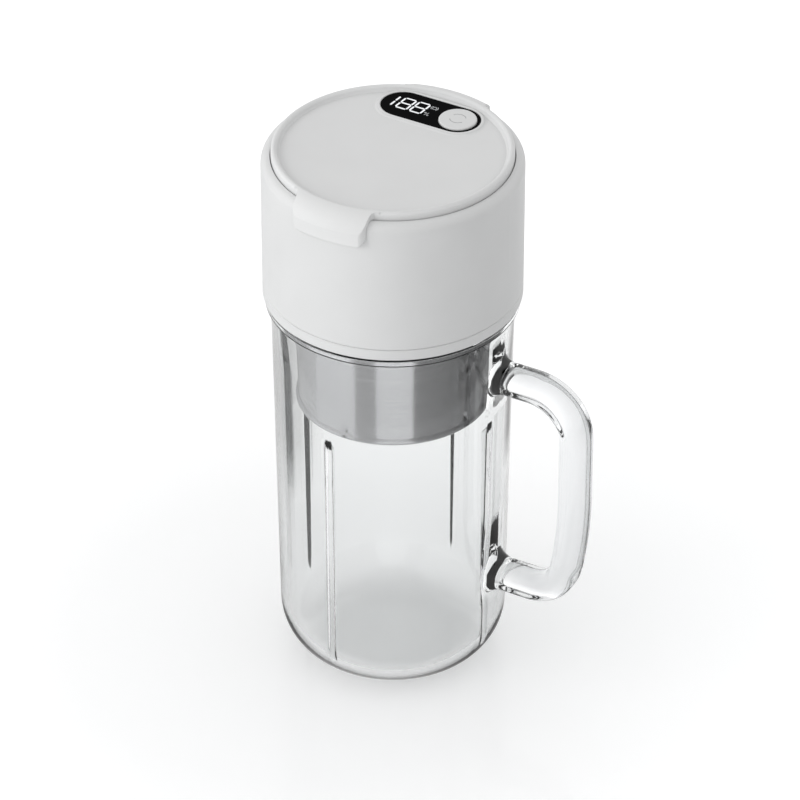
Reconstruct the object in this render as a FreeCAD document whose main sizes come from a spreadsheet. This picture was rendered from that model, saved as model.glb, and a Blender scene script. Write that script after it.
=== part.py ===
import FreeCAD, Part
import math
import os
import Sketcher
from FreeCAD import Placement, Rotation, Vector

# A portable blender mug: a clear mug with a handle, and a motor head that screws onto it.
# Millimetres. The origin is the centre of the mug's foot, +Z runs up the mug's axis, the
# front tab of the cover is towards -Y and the handle towards +X.

SIZES = {
    # Mug: a tapered wall on a large base rounding, a bead under the head and a neck inside it.
    "mug_taper": 1.6,
    "mug_wall": 2.5,
    "mug_floor": 3.0,
    "mug_base_round": 18.6,
    "bead_level": 137.3,
    "bead_step": 0.7,
    "bead_overhang": 2.1,
    "bead_height": 3.2,
    "bead_round": 1.0,
    "neck_wall": 3.0,
    "neck_height": 14.5,
    "neck_chamfer": 0.6,
    "shoulder_height": 3.9,
    # Four ribs inside the mug that throw the drink back into the blades.
    "rib_width": 4.0,
    "rib_depth": 2.2,
    "rib_overlap": 0.7,
    "rib_bevel": 3.6,
    "rib_foot": 10.0,
    "rib_turn_deg": 4.0,
    # Handle: a rounded bar along a C, with a flared foot at each end.
    "handle_width": 11.0,
    "handle_thickness": 9.6,
    "handle_corner": 3.7,
    "handle_drop": 18.4,
    "handle_bottom": 41.7,
    "handle_standoff": 27.9,
    "handle_upper_bend": 16.3,
    "handle_lower_bend": 12.5,
    "grip_bow_radius": 151.0,
    "grip_bow_level": 80.0,
    "handle_foot_width": 13.4,
    "handle_foot_height": 17.0,
    "handle_foot_flare": 5.0,
    "handle_foot_root": 2.5,
    # Seal between the neck's rim and the collar's deck.
    "seal_height": 1.6,
    "seal_gap": 0.05,
    # Collar: a sleeve over the neck with a flange below and a deck above.
    "head_gap": 0.3,
    "thread_depth": 1.5,
    "flange_height": 3.8,
    "seam_chamfer": 0.3,
    "seam_gap": 0.1,
    "collar_gap": 0.2,
    "deck_thickness": 2.2,
    "deck_post_room": 2.97,
    "deck_post_y": 22.0,
    "deck_post_radius": 3.0,
    "deck_post_height": 4.1,
    "chamber_boss_gap": 0.5,
    "chamber_boss_radius": 2.5,
    "chamber_boss_height": 3.0,
    # Outer shell.
    "shell_wall": 2.4,
    "sleeve_wall": 1.5,
    "shell_round": 2.9,
    "mouth_land": 0.1,
    "ledge_depth": 1.8,
    "ledge_width": 2.1,
    "ledge_height": 1.6,
    # Cover with its raised rim and two tabs.
    "cover_inset": 3.3,
    "cover_gap": 0.3,
    "cover_seat_gap": 0.05,
    "disc_rise": 1.0,
    "rim_rise": 1.8,
    "rim_crown": 1.1,
    "rim_slope": 1.7,
    "tab_reach": 2.0,
    "tab_half_width": 13.0,
    "tab_corner": 3.0,
    "tab_root": 2.2,
    "tab_drop": 8.2,
    "tab_fall": 5.8,
    "tab_top_round": 8.0,
    "tab_bottom_round": 1.2,
    "tab_foot_corner": 4.0,
    "tab_gap": 0.08,
    # Display window and power button, in one pill-shaped opening.
    "pill_x": -0.8,
    "pill_y": 26.1,
    "pill_half_run": 9.9,
    "pill_radius": 7.4,
    "pill_gap": 0.1,
    "pill_border": 1.1,
    "pill_border_rise": 0.35,
    "pill_ledge": 0.8,
    "window_thickness": 1.6,
    "window_boss_end": -0.5,
    "button_radius": 6.2,
    "button_gap": 0.25,
    "button_rise": 0.6,
    "button_flange": 1.2,
    "button_flange_height": 1.4,
    "button_flange_gap": 0.15,
    "button_edge_round": 0.5,
    "button_travel": 0.5,
    # Control board and what stands on it.
    "board_gap": 0.6,
    "board_thickness": 1.6,
    "board_room": 3.4,
    "board_post_inset": 2.2,
    "board_post_gap": 0.5,
    "board_post_radius": 2.4,
    "switch_side": 6.0,
    "switch_height": 1.2,
    "plunger_radius": 1.5,
    "plunger_gap": 0.2,
    "display_length": 15.0,
    "display_width": 11.0,
    "chip_width": 7.0,
    "chip_height": 1.0,
    # Chassis over the motor, with the cells in its cradles.
    "chassis_gap": 0.8,
    "chassis_plate": 2.0,
    "cell_radius": 9.2,
    "cell_length": 65.0,
    "cell_gap": 0.4,
    "cell_end_room": 9.5,
    "cell_floor_gap": 0.2,
    "cell_headroom": 1.0,
    "cell_clearance": 0.05,
    "cradle_place": 20.0,
    "cradle_width": 2.5,
    "cradle_height": 5.5,
    "strap_thickness": 0.4,
    "strap_height": 6.0,
    "strap_tab": 8.0,
    "end_stop_width": 2.0,
    "end_stop_half": 14.0,
    # Screws.
    "screw_radius": 1.0,
    "screw_gap": 0.05,
    "screw_head_radius": 2.1,
    "screw_head_height": 1.4,
    "screw_bite": 3.6,
    # Motor in its pod.
    "motor_radius": 12.2,
    "motor_can_length": 27.0,
    "motor_endcap_length": 3.8,
    "motor_boss_radius": 3.0,
    "motor_boss_length": 1.6,
    "motor_gap": 0.3,
    "clamp_depth": 1.2,
    "pod_wall": 2.3,
    "pod_flange_width": 3.9,
    "pod_flange_height": 1.8,
    "pod_floor": 2.7,
    "nose_radius": 7.5,
    "nose_length": 6.7,
    "pod_hole_gap": 0.3,
    "clamp_gap": 0.05,
    "terminal_offset": 6.0,
    "terminal_width": 2.4,
    "terminal_thickness": 0.5,
    "terminal_height": 3.2,
    # Shaft line, from the motor down.
    "journal_radius": 3.0,
    "running_gap": 0.06,
    "bush_radius": 5.0,
    "bush_length": 3.7,
    "shaft_seal_length": 2.2,
    "motor_shaft_radius": 1.15,
    "motor_shaft_reach": 5.5,
    "stud_radius": 2.0,
    "hub_gap": 0.3,
    "hub_radius": 4.6,
    "hub_length": 4.4,
    "blade_thickness": 1.0,
    "blade_reach": 19.0,
    "blade_bend_place": 6.0,
    "blade_root_half_width": 5.0,
    "blade_tip_half_width": 2.6,
    "upper_blade_lift": 6.0,
    "lower_blade_drop": 4.5,
    "blade_angle_deg": 60.0,
    "nut_radius": 4.5,
    "nut_length": 3.0,
    "nut_dome": 1.6,
    # Steel chamber round the blades.
    "chamber_room": 2.4,
    "chamber_wall": 0.8,
    "chamber_depth": 55.4,
    "chamber_corner": 1.8,
    "lip_radius": 0.75,
    "lip_height": 2.2,
    # Charging port in the back of the shell.
    "socket_width": 8.9,
    "socket_height": 3.2,
    "socket_length": 7.3,
    "socket_wall": 0.35,
    "socket_back": 0.8,
    "socket_setback": 1.1,
    "tongue_width": 6.7,
    "tongue_thickness": 0.7,
    "tongue_length": 5.0,
    "charge_board_half_width": 9.0,
    "charge_board_length": 16.2,
    "charge_board_thickness": 1.2,
    "port_gap": 0.25,
    "recess_half_length": 6.4,
    "recess_radius": 3.4,
    "recess_depth": 1.2,
    "plug_gap": 0.2,
    "plug_seat_gap": 0.05,
    "plug_stem": 1.9,
}


class Size:
    """A number that remembers the spreadsheet expression it comes from."""

    def __init__(self, value, text):
        self.value = float(value)
        self.text = text

    def combine(self, other, sign, result):
        other = as_size(other)
        return Size(result(self.value, other.value), f"({self.text} {sign} {other.text})")

    def __add__(self, other):
        return self.combine(other, "+", lambda a, b: a + b)

    def __sub__(self, other):
        return self.combine(other, "-", lambda a, b: a - b)

    def __mul__(self, other):
        return self.combine(other, "*", lambda a, b: a * b)

    def __truediv__(self, other):
        return self.combine(other, "/", lambda a, b: a / b)

    def __radd__(self, other):
        return as_size(other) + self

    def __rsub__(self, other):
        return as_size(other) - self

    def __rmul__(self, other):
        return as_size(other) * self

    def __neg__(self):
        return as_size(0) - self


def as_size(number):
    return number if isinstance(number, Size) else Size(number, repr(float(number)))


def root(size):
    return Size(math.sqrt(size.value), f"sqrt({size.text})")


def smaller(one, other):
    return Size(min(one.value, other.value), f"min({one.text}; {other.text})")


class Sheet:
    """The spreadsheet's sizes, each read by its alias."""

    def __init__(self, document, sizes):
        cells = document.addObject("Spreadsheet::Sheet", "Sizes")
        for row, (alias, number) in enumerate(sizes.items(), start=1):
            cells.set(f"A{row}", alias)
            cells.set(f"B{row}", str(number))
            cells.setAlias(f"B{row}", alias)
            setattr(self, alias, Size(number, f"Sizes.{alias}"))


doc = FreeCAD.newDocument("PortableBlenderMug")
S = Sheet(doc, SIZES)
doc.recompute()
nodes = []


def bind(thing, name, size):
    thing.setExpression(name, as_size(size).text)


def keep(thing, label):
    """Make an object one of the part's nodes, under its own label."""
    thing.Label = label
    nodes.append(thing)
    return thing


# Sketches -------------------------------------------------------------------------------

ORIGIN_POINT = (-1, 1)


def new_body(label):
    body = doc.addObject("PartDesign::Body", "Body_" + label)
    body.AllowCompound = True
    return body


def new_sketch(body, name, plane, offset=0):
    """A sketch on one of the body's origin planes, moved along the plane's normal."""
    sketch = body.newObject("Sketcher::SketchObject", name)
    planes = [feature for feature in body.Origin.OriginFeatures if feature.Role == plane]
    sketch.AttachmentSupport = [(planes[0], "")]
    sketch.MapMode = "FlatFace"
    bind(sketch, "AttachmentOffset.Base.z", offset)
    return sketch


def dimension(sketch, kind, *arguments):
    """Add a constraint whose last argument is a size, and tie it to the sheet."""
    size = as_size(arguments[-1])
    index = sketch.addConstraint(Sketcher.Constraint(kind, *arguments[:-1], size.value))
    bind(sketch, f"Constraints[{index}]", size)


def arc_between(start, end, radius):
    """The arc of up to a half circle from start to end, anticlockwise for a positive radius."""
    chord = end - start
    side = Vector(-chord.y, chord.x, 0).normalize() * math.copysign(1, radius)
    rise = math.sqrt(max(radius * radius - chord.Length ** 2 / 4, 0))
    centre = (start + end) * 0.5 + side * rise
    first, last = (start, end) if radius > 0 else (end, start)
    angles = [math.atan2(point.y - centre.y, point.x - centre.x) for point in (first, last)]
    if angles[1] < angles[0]:
        angles[1] += 2 * math.pi
    circle = Part.Circle(centre, Vector(0, 0, 1), abs(radius))
    return Part.ArcOfCircle(circle, *angles)


def outline(sketch, corners):
    """Close corners (x, y) or (x, y, radius of the arc to the next corner) into an outline."""
    points = [Vector(as_size(corner[0]).value, as_size(corner[1]).value, 0) for corner in corners]
    first = sketch.GeometryCount
    ends = []
    for index, corner in enumerate(corners):
        start, end = points[index], points[(index + 1) % len(points)]
        if len(corner) == 2:
            sketch.addGeometry(Part.LineSegment(start, end))
            ends.append((1, 2))
        else:
            radius = as_size(corner[2])
            geometry = sketch.addGeometry(arc_between(start, end, radius.value))
            ends.append((1, 2) if radius.value > 0 else (2, 1))
            dimension(sketch, "Radius", geometry, radius if radius.value > 0 else -radius)
    for index, corner in enumerate(corners):
        following = (index + 1) % len(corners)
        here, there = first + index, first + following
        sketch.addConstraint(
            Sketcher.Constraint("Coincident", here, ends[index][1], there, ends[following][0]))
        dimension(sketch, "DistanceX", *ORIGIN_POINT, here, ends[index][0], corner[0])
        dimension(sketch, "DistanceY", *ORIGIN_POINT, here, ends[index][0], corner[1])


def circles(sketch, centres, radius):
    for x, y in centres:
        middle = Vector(as_size(x).value, as_size(y).value, 0)
        index = sketch.addGeometry(Part.Circle(middle, Vector(0, 0, 1), as_size(radius).value))
        dimension(sketch, "Radius", index, radius)
        dimension(sketch, "DistanceX", *ORIGIN_POINT, index, 3, x)
        dimension(sketch, "DistanceY", *ORIGIN_POINT, index, 3, y)


def rectangle(x_low, x_high, y_low, y_high):
    return [(x_low, y_low), (x_high, y_low), (x_high, y_high), (x_low, y_high)]


def pill(x, y, half_run, radius):
    """Corners of a slot with round ends, its centre line along x."""
    right, left = x + half_run, x - half_run
    return [(left, y - radius), (right, y - radius, radius), (right + radius, y, radius),
            (right, y + radius), (left, y + radius, radius), (left - radius, y, radius)]


def rounded(x, y, half_width, half_height, corner):
    """Corners of a rounded rectangle."""
    right, left, top, bottom = x + half_width, x - half_width, y + half_height, y - half_height
    return [(left + corner, bottom), (right - corner, bottom, corner),
            (right, bottom + corner), (right, top - corner, corner),
            (right - corner, top), (left + corner, top, corner),
            (left, top - corner), (left, bottom + corner, corner)]


def four_corners(x, y):
    return [(x, y), (-x, y), (-x, -y), (x, -y)]


# Features -------------------------------------------------------------------------------

def changed_volume(body, feature, grows):
    """Recompute, and stop if the feature didn't change the body the way it should."""
    before = feature.BaseFeature.Shape.Volume if feature.BaseFeature else 0
    doc.recompute()
    change = feature.Shape.Volume - before
    if (change > 0) != grows or change == 0:
        raise RuntimeError(f"{feature.Name} in {body.Name} changes the volume by {change:.3f}")
    return feature


def pad(body, sketch, length, symmetric=False):
    feature = body.newObject("PartDesign::Pad", sketch.Name + "_pad")
    feature.Profile = sketch
    feature.SideType = "Symmetric" if symmetric else "One side"
    bind(feature, "Length", length)
    return changed_volume(body, feature, True)


def pocket(body, sketch, length, along_normal=False):
    """Cut a sketch into the body, against its plane's normal unless along_normal."""
    feature = body.newObject("PartDesign::Pocket", sketch.Name + "_pocket")
    feature.Profile = sketch
    feature.Reversed = along_normal
    bind(feature, "Length", length)
    return changed_volume(body, feature, False)


def turn(body, name, corners, cut=False):
    """Revolve a profile of (radius, height) corners round the body's axis, or cut it out."""
    sketch = new_sketch(body, name, "XZ_Plane")
    outline(sketch, corners)
    kind = "PartDesign::Groove" if cut else "PartDesign::Revolution"
    feature = body.newObject(kind, name + "_turn")
    feature.Profile = sketch
    feature.ReferenceAxis = (sketch, ["V_Axis"])
    feature.Angle = 360
    return changed_volume(body, feature, not cut)


def pad_outline(body, name, height, corners, length):
    sketch = new_sketch(body, name, "XY_Plane", height)
    outline(sketch, corners)
    return pad(body, sketch, length)


def pad_circles(body, name, height, centres, radius, length):
    sketch = new_sketch(body, name, "XY_Plane", height)
    circles(sketch, centres, radius)
    return pad(body, sketch, length)


def drill(body, name, height, centres, radius, depth, upwards=False):
    """Round holes from a height, down into the body or up into it."""
    sketch = new_sketch(body, name, "XY_Plane", height)
    circles(sketch, centres, radius)
    return pocket(body, sketch, depth, along_normal=upwards)


def turned(label, corners):
    """A node that is one revolved profile."""
    body = new_body(label)
    turn(body, label + "_profile", corners)
    return keep(body, label)


def repeat_round_axis(body, feature, count):
    pattern = body.newObject("PartDesign::PolarPattern", feature.Name + "_round")
    pattern.Originals = [feature]
    axes = [item for item in body.Origin.OriginFeatures if item.Role == "Z_Axis"]
    pattern.Axis = (axes[0], [""])
    pattern.Angle = 360
    pattern.Occurrences = count
    body.Tip = pattern
    return changed_volume(body, pattern, True)


def plain_box(label, x_low, y_low, z_low, length, width, height):
    box = doc.addObject("Part::Box", "Box_" + label)
    for name, size in (("Length", length), ("Width", width), ("Height", height)):
        bind(box, name, size)
    for name, size in (("x", x_low), ("y", y_low), ("z", z_low)):
        bind(box, "Placement.Base." + name, size)
    return box


# Radii that follow from the cells lying across the head ---------------------------------------

shell_radius = S.cell_length / 2 + S.cell_end_room
shell_bore = shell_radius - S.shell_wall
cover_radius = shell_radius - S.cover_inset
tab_radius = shell_radius + S.tab_reach
shell_mouth = cover_radius + S.cover_gap
shell_round = smaller(S.shell_round, shell_radius - shell_mouth - S.mouth_land)
ledge_radius = shell_mouth - S.ledge_width
board_radius = ledge_radius - S.board_gap
chassis_radius = shell_bore - S.chassis_gap
collar_bore = shell_bore - S.collar_gap - S.sleeve_wall
neck_radius = collar_bore - S.thread_depth
neck_bore = neck_radius - S.neck_wall
chamber_radius = neck_bore - S.chamber_room
bead_radius = shell_radius - S.bead_step
mug_top_radius = bead_radius - S.bead_overhang
mug_base_radius = mug_top_radius - S.mug_taper
handle_reach = mug_top_radius + S.handle_standoff
pod_radius = S.motor_radius + S.motor_gap + S.pod_wall
pod_hole = pod_radius + S.pod_hole_gap
pod_flange_radius = pod_hole + S.pod_flange_width
chamber_boss_place = pod_flange_radius + S.chamber_boss_gap + S.chamber_boss_radius
cell_spacing = 2 * S.cell_radius + S.cell_gap
board_post_place = board_radius - S.board_post_inset
board_post_y = (cell_spacing / 2 + S.cell_radius + S.board_post_gap
                + S.board_post_radius)
board_post_x = root(board_post_place * board_post_place - board_post_y * board_post_y)
deck_post_x = board_post_x - S.board_post_radius - S.deck_post_room - S.screw_head_radius

# Levels, from the mug's bead up to the cover ---------------------------------------------------

bead_top = S.bead_level + S.bead_height
neck_top = bead_top + S.neck_height
deck_bottom = neck_top + S.seal_gap + S.seal_height + S.seal_gap
deck_top = deck_bottom + S.deck_thickness
flange_bottom = bead_top + S.head_gap
flange_top = flange_bottom + S.flange_height
shell_bottom = flange_top + S.seam_gap
chassis_bottom = deck_top + S.deck_post_height
chassis_top = chassis_bottom + S.chassis_plate
cell_level = chassis_top + S.cell_floor_gap + S.cell_radius
board_bottom = cell_level + S.cell_radius + S.cell_headroom
board_top = board_bottom + S.board_thickness
ledge_level = board_top + S.board_room
shell_top = ledge_level + S.ledge_depth
tab_bottom = shell_top - S.tab_drop
cover_bottom = ledge_level + S.cover_seat_gap
disc_top = shell_top + S.disc_rise
window_seat = disc_top + S.pill_border_rise - S.pill_gap - S.window_thickness
window_top = window_seat + S.window_thickness
button_x = S.pill_x + S.pill_half_run
button_flange_top = cover_bottom - S.button_flange_gap
button_flange_bottom = button_flange_top - S.button_flange_height
port_level = chassis_top + S.charge_board_thickness + S.socket_height / 2
socket_front = shell_bore - S.socket_setback
recess_floor = shell_radius - S.recess_depth

# Levels, from the collar's deck down to the blades ---------------------------------------------

roof_bottom = deck_bottom - S.chamber_wall
chamber_bottom = deck_bottom - S.chamber_depth
rib_top = chamber_bottom + S.rib_overlap
handle_top = S.bead_level - S.handle_drop
endcap_top = chassis_bottom - S.clamp_depth
endcap_bottom = endcap_top - S.motor_endcap_length
motor_floor = endcap_bottom - S.motor_can_length
nose_top = motor_floor - S.pod_floor
nose_bottom = nose_top - S.nose_length
hub_top = nose_bottom - S.hub_gap
hub_bottom = hub_top - S.hub_length
blade_stack = [hub_bottom - S.blade_thickness * count for count in range(1, 4)]
nut_top = blade_stack[-1]


def mug_radius(level):
    """Outside radius of the mug's tapered wall at a height."""
    run = S.bead_level - S.mug_base_round
    return mug_base_radius + (mug_top_radius - mug_base_radius) * (
        (level - S.mug_base_round) / run)


# Mug ------------------------------------------------------------------------------------

def make_mug_body():
    inner_round = S.mug_base_round - S.mug_wall
    inner_base = mug_base_radius - S.mug_wall
    body = new_body("mug_body")
    turn(body, "mug_wall", [
        (0, 0),
        (mug_base_radius - S.mug_base_round, 0, S.mug_base_round),
        (mug_base_radius, S.mug_base_round),
        (mug_top_radius, S.bead_level),
        (bead_radius - S.bead_round, S.bead_level, S.bead_round),
        (bead_radius, S.bead_level + S.bead_round),
        (bead_radius, bead_top - S.neck_chamfer),
        (bead_radius - S.neck_chamfer, bead_top),
        (neck_radius, bead_top),
        (neck_radius, neck_top - S.neck_chamfer),
        (neck_radius - S.neck_chamfer, neck_top),
        (neck_bore + S.neck_chamfer, neck_top),
        (neck_bore, neck_top - S.neck_chamfer),
        (neck_bore, bead_top),
        (mug_top_radius - S.mug_wall, bead_top - S.shoulder_height),
        (inner_base, S.mug_floor + inner_round, -inner_round),
        (inner_base - inner_round, S.mug_floor),
        (0, S.mug_floor),
    ])
    rib = new_sketch(body, "rib_side", "XZ_Plane")
    rib.AttachmentOffset = Placement(Vector(), Rotation(Vector(0, -1, 0), S.rib_turn_deg.value))
    bind(rib, "AttachmentOffset.Rotation.Angle", S.rib_turn_deg)
    rib_face = mug_radius(rib_top) - S.mug_wall - S.rib_depth
    outline(rib, [
        (rib_face, S.rib_foot),
        (inner_base, S.rib_foot),
        (mug_radius(rib_top) - S.mug_wall / 2, rib_top),
        (mug_radius(rib_top) - S.mug_wall - S.rib_depth / 4, rib_top),
        (rib_face, rib_top - S.rib_bevel),
    ])
    repeat_round_axis(body, pad(body, rib, S.rib_width, symmetric=True), 4)
    return keep(body, "mug_body")


def handle_path(body):
    """Centre line of the handle: top leg, bend, straight grip, bowed grip, bend, bottom leg."""
    start = mug_radius(handle_top) - S.handle_foot_root
    end = mug_radius(S.handle_bottom) - S.handle_foot_root
    reach, bow_level = handle_reach.value, S.grip_bow_level.value
    upper, lower, bow = (size.value for size in (
        S.handle_upper_bend, S.handle_lower_bend, S.grip_bow_radius))
    top, bottom = handle_top.value, S.handle_bottom.value
    bow_turn = math.asin((bow_level - lower - bottom) / (bow - lower))
    bow_centre = Vector(reach - bow, bow_level, 0)
    towards_end = Vector(math.cos(bow_turn), -math.sin(bow_turn), 0)
    bow_end = bow_centre + towards_end * bow
    lower_centre = bow_end - towards_end * lower
    upper_centre = Vector(reach - upper, top - upper, 0)

    def arc(centre, radius, first, last):
        return Part.ArcOfCircle(Part.Circle(centre, Vector(0, 0, 1), radius), first, last)

    sketch = new_sketch(body, "handle_path", "XZ_Plane")
    pieces = [
        Part.LineSegment(Vector(start.value, top, 0), Vector(upper_centre.x, top, 0)),
        arc(upper_centre, upper, 0, math.pi / 2),
        Part.LineSegment(Vector(reach, upper_centre.y, 0), Vector(reach, bow_level, 0)),
        arc(bow_centre, bow, -bow_turn, 0),
        arc(lower_centre, lower, -math.pi / 2, -bow_turn),
        Part.LineSegment(Vector(lower_centre.x, bottom, 0), Vector(end.value, bottom, 0)),
    ]
    for piece in pieces:
        sketch.addGeometry(piece)
    joins = [(0, 2, 1, 2), (1, 1, 2, 1), (2, 2, 3, 2), (3, 1, 4, 2), (4, 1, 5, 1)]
    for join in joins:
        sketch.addConstraint(Sketcher.Constraint("Tangent", *join))
    for index in (0, 5):
        sketch.addConstraint(Sketcher.Constraint("Horizontal", index))
    sketch.addConstraint(Sketcher.Constraint("Vertical", 2))
    dimension(sketch, "Radius", 1, S.handle_upper_bend)
    dimension(sketch, "Radius", 3, S.grip_bow_radius)
    dimension(sketch, "Radius", 4, S.handle_lower_bend)
    dimension(sketch, "DistanceX", *ORIGIN_POINT, 0, 1, start)
    dimension(sketch, "DistanceY", *ORIGIN_POINT, 0, 1, handle_top)
    dimension(sketch, "DistanceX", *ORIGIN_POINT, 2, 1, handle_reach)
    dimension(sketch, "DistanceY", *ORIGIN_POINT, 2, 2, S.grip_bow_level)
    dimension(sketch, "DistanceX", *ORIGIN_POINT, 5, 2, end)
    dimension(sketch, "DistanceY", *ORIGIN_POINT, 5, 2, S.handle_bottom)
    return sketch, len(pieces), start


def handle_foot(body, name, level):
    """A foot lofted from the handle's section out to a wider pad on the wall."""
    stations = [(-S.handle_foot_root, 1.0), (S.handle_foot_flare / 2, 0.22),
                (S.handle_foot_flare, 0.0)]
    sketches = []
    for number, (distance, share) in enumerate(stations):
        half_width = (S.handle_width + (S.handle_foot_width - S.handle_width) * share) / 2
        grown = (S.handle_foot_height - S.handle_thickness) * share
        half_height = (S.handle_thickness + grown) / 2
        sketch = new_sketch(body, f"{name}_{number}", "YZ_Plane", mug_radius(level) + distance)
        corner = S.handle_corner * (1 + share / 2)
        outline(sketch, rounded(as_size(0), level, half_width, half_height, corner))
        sketches.append(sketch)
    loft = body.newObject("PartDesign::AdditiveLoft", name + "_loft")
    loft.Profile = sketches[0]
    loft.Sections = sketches[1:]
    loft.Ruled = False
    return changed_volume(body, loft, True)


def make_mug_handle():
    body = new_body("mug_handle")
    path, edges, start = handle_path(body)
    section = new_sketch(body, "handle_section", "YZ_Plane", start)
    outline(section, rounded(as_size(0), handle_top, S.handle_width / 2,
                             S.handle_thickness / 2, S.handle_corner))
    doc.recompute()
    grip = body.newObject("PartDesign::AdditivePipe", "grip")
    grip.Profile = section
    grip.Spine = (path, [f"Edge{number}" for number in range(1, edges + 1)])
    changed_volume(body, grip, True)
    handle_foot(body, "upper_foot", handle_top)
    handle_foot(body, "lower_foot", S.handle_bottom)
    low = S.handle_bottom - S.handle_foot_height
    high = handle_top + S.handle_foot_height
    turn(body, "wall_seat", [(0, low), (mug_radius(low), low), (mug_radius(high), high),
                             (0, high)], cut=True)
    return keep(body, "mug_handle")


# Collar, shell and cover ------------------------------------------------------------------

deck_posts = four_corners(deck_post_x, S.deck_post_y)
chamber_bosses = [(chamber_boss_place, 0), (-chamber_boss_place, 0),
                  (0, chamber_boss_place), (0, -chamber_boss_place)]
board_posts = four_corners(board_post_x, board_post_y)
screw_hole = S.screw_radius + S.screw_gap


def make_threaded_collar():
    sleeve = shell_bore - S.collar_gap
    chamfer = S.seam_chamfer
    body = new_body("threaded_collar")
    turn(body, "collar_profile", [
        (pod_hole, deck_bottom),
        (collar_bore, deck_bottom),
        (collar_bore, flange_bottom + chamfer),
        (collar_bore + chamfer, flange_bottom),
        (shell_radius - chamfer, flange_bottom),
        (shell_radius, flange_bottom + chamfer),
        (shell_radius, flange_top - chamfer),
        (shell_radius - chamfer, flange_top),
        (sleeve, flange_top),
        (sleeve, deck_top),
        (pod_hole, deck_top),
    ])
    pad_circles(body, "deck_posts", deck_top, deck_posts, S.deck_post_radius,
                S.deck_post_height)
    pad_circles(body, "chamber_bosses", deck_top, chamber_bosses, S.chamber_boss_radius,
                S.chamber_boss_height)
    drill(body, "deck_post_holes", chassis_bottom, deck_posts, screw_hole, S.deck_post_height)
    drill(body, "chamber_boss_holes", deck_bottom, chamber_bosses, screw_hole,
          S.screw_bite + S.screw_gap, upwards=True)
    return keep(body, "threaded_collar")


def make_outer_shell():
    chamfer = S.seam_chamfer
    ledge_bottom = ledge_level - S.ledge_height
    body = new_body("outer_shell")
    turn(body, "shell_profile", [
        (shell_bore, shell_bottom),
        (shell_radius - chamfer, shell_bottom),
        (shell_radius, shell_bottom + chamfer),
        (shell_radius, shell_top - shell_round, shell_round),
        (shell_radius - shell_round, shell_top),
        (shell_mouth, shell_top),
        (shell_mouth, ledge_level),
        (ledge_radius, ledge_level),
        (ledge_radius, ledge_bottom),
        (shell_bore, ledge_bottom - (shell_bore - ledge_radius)),
    ])
    slot = new_sketch(body, "port_slot", "XZ_Plane", -(socket_front - S.port_gap))
    slot_radius = S.socket_height / 2 + S.port_gap
    outline(slot, pill(as_size(0), port_level, (S.socket_width - S.socket_height) / 2,
                       slot_radius))
    pocket(body, slot, shell_radius - socket_front + S.port_gap + S.port_gap)
    recess = new_sketch(body, "port_recess", "XZ_Plane", -recess_floor)
    outline(recess, pill(as_size(0), port_level, S.recess_half_length - S.recess_radius,
                         S.recess_radius))
    pocket(body, recess, S.recess_depth + S.port_gap)
    return keep(body, "outer_shell")


def tab_outline():
    """Front tab seen from above: flared root, straight sides, round corners, curved face."""
    half = S.tab_half_width
    root_half = half + S.tab_root
    face = root(tab_radius * tab_radius - (half - S.tab_corner) * (half - S.tab_corner))
    root_depth = root(cover_radius * cover_radius - root_half * root_half)
    crown = cover_radius - S.rim_crown
    crown_depth = root(crown * crown - root_half * root_half)
    side = face - S.tab_corner
    return [
        (-root_half, -crown_depth),
        (-root_half, -root_depth, -S.tab_root),
        (-half, -root_depth - S.tab_root),
        (-half, -side, S.tab_corner),
        (S.tab_corner - half, -face, tab_radius),
        (half - S.tab_corner, -face, S.tab_corner),
        (half, -side),
        (half, -root_depth - S.tab_root, -S.tab_root),
        (root_half, -root_depth),
        (root_half, -crown_depth, -crown),
    ]


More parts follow.
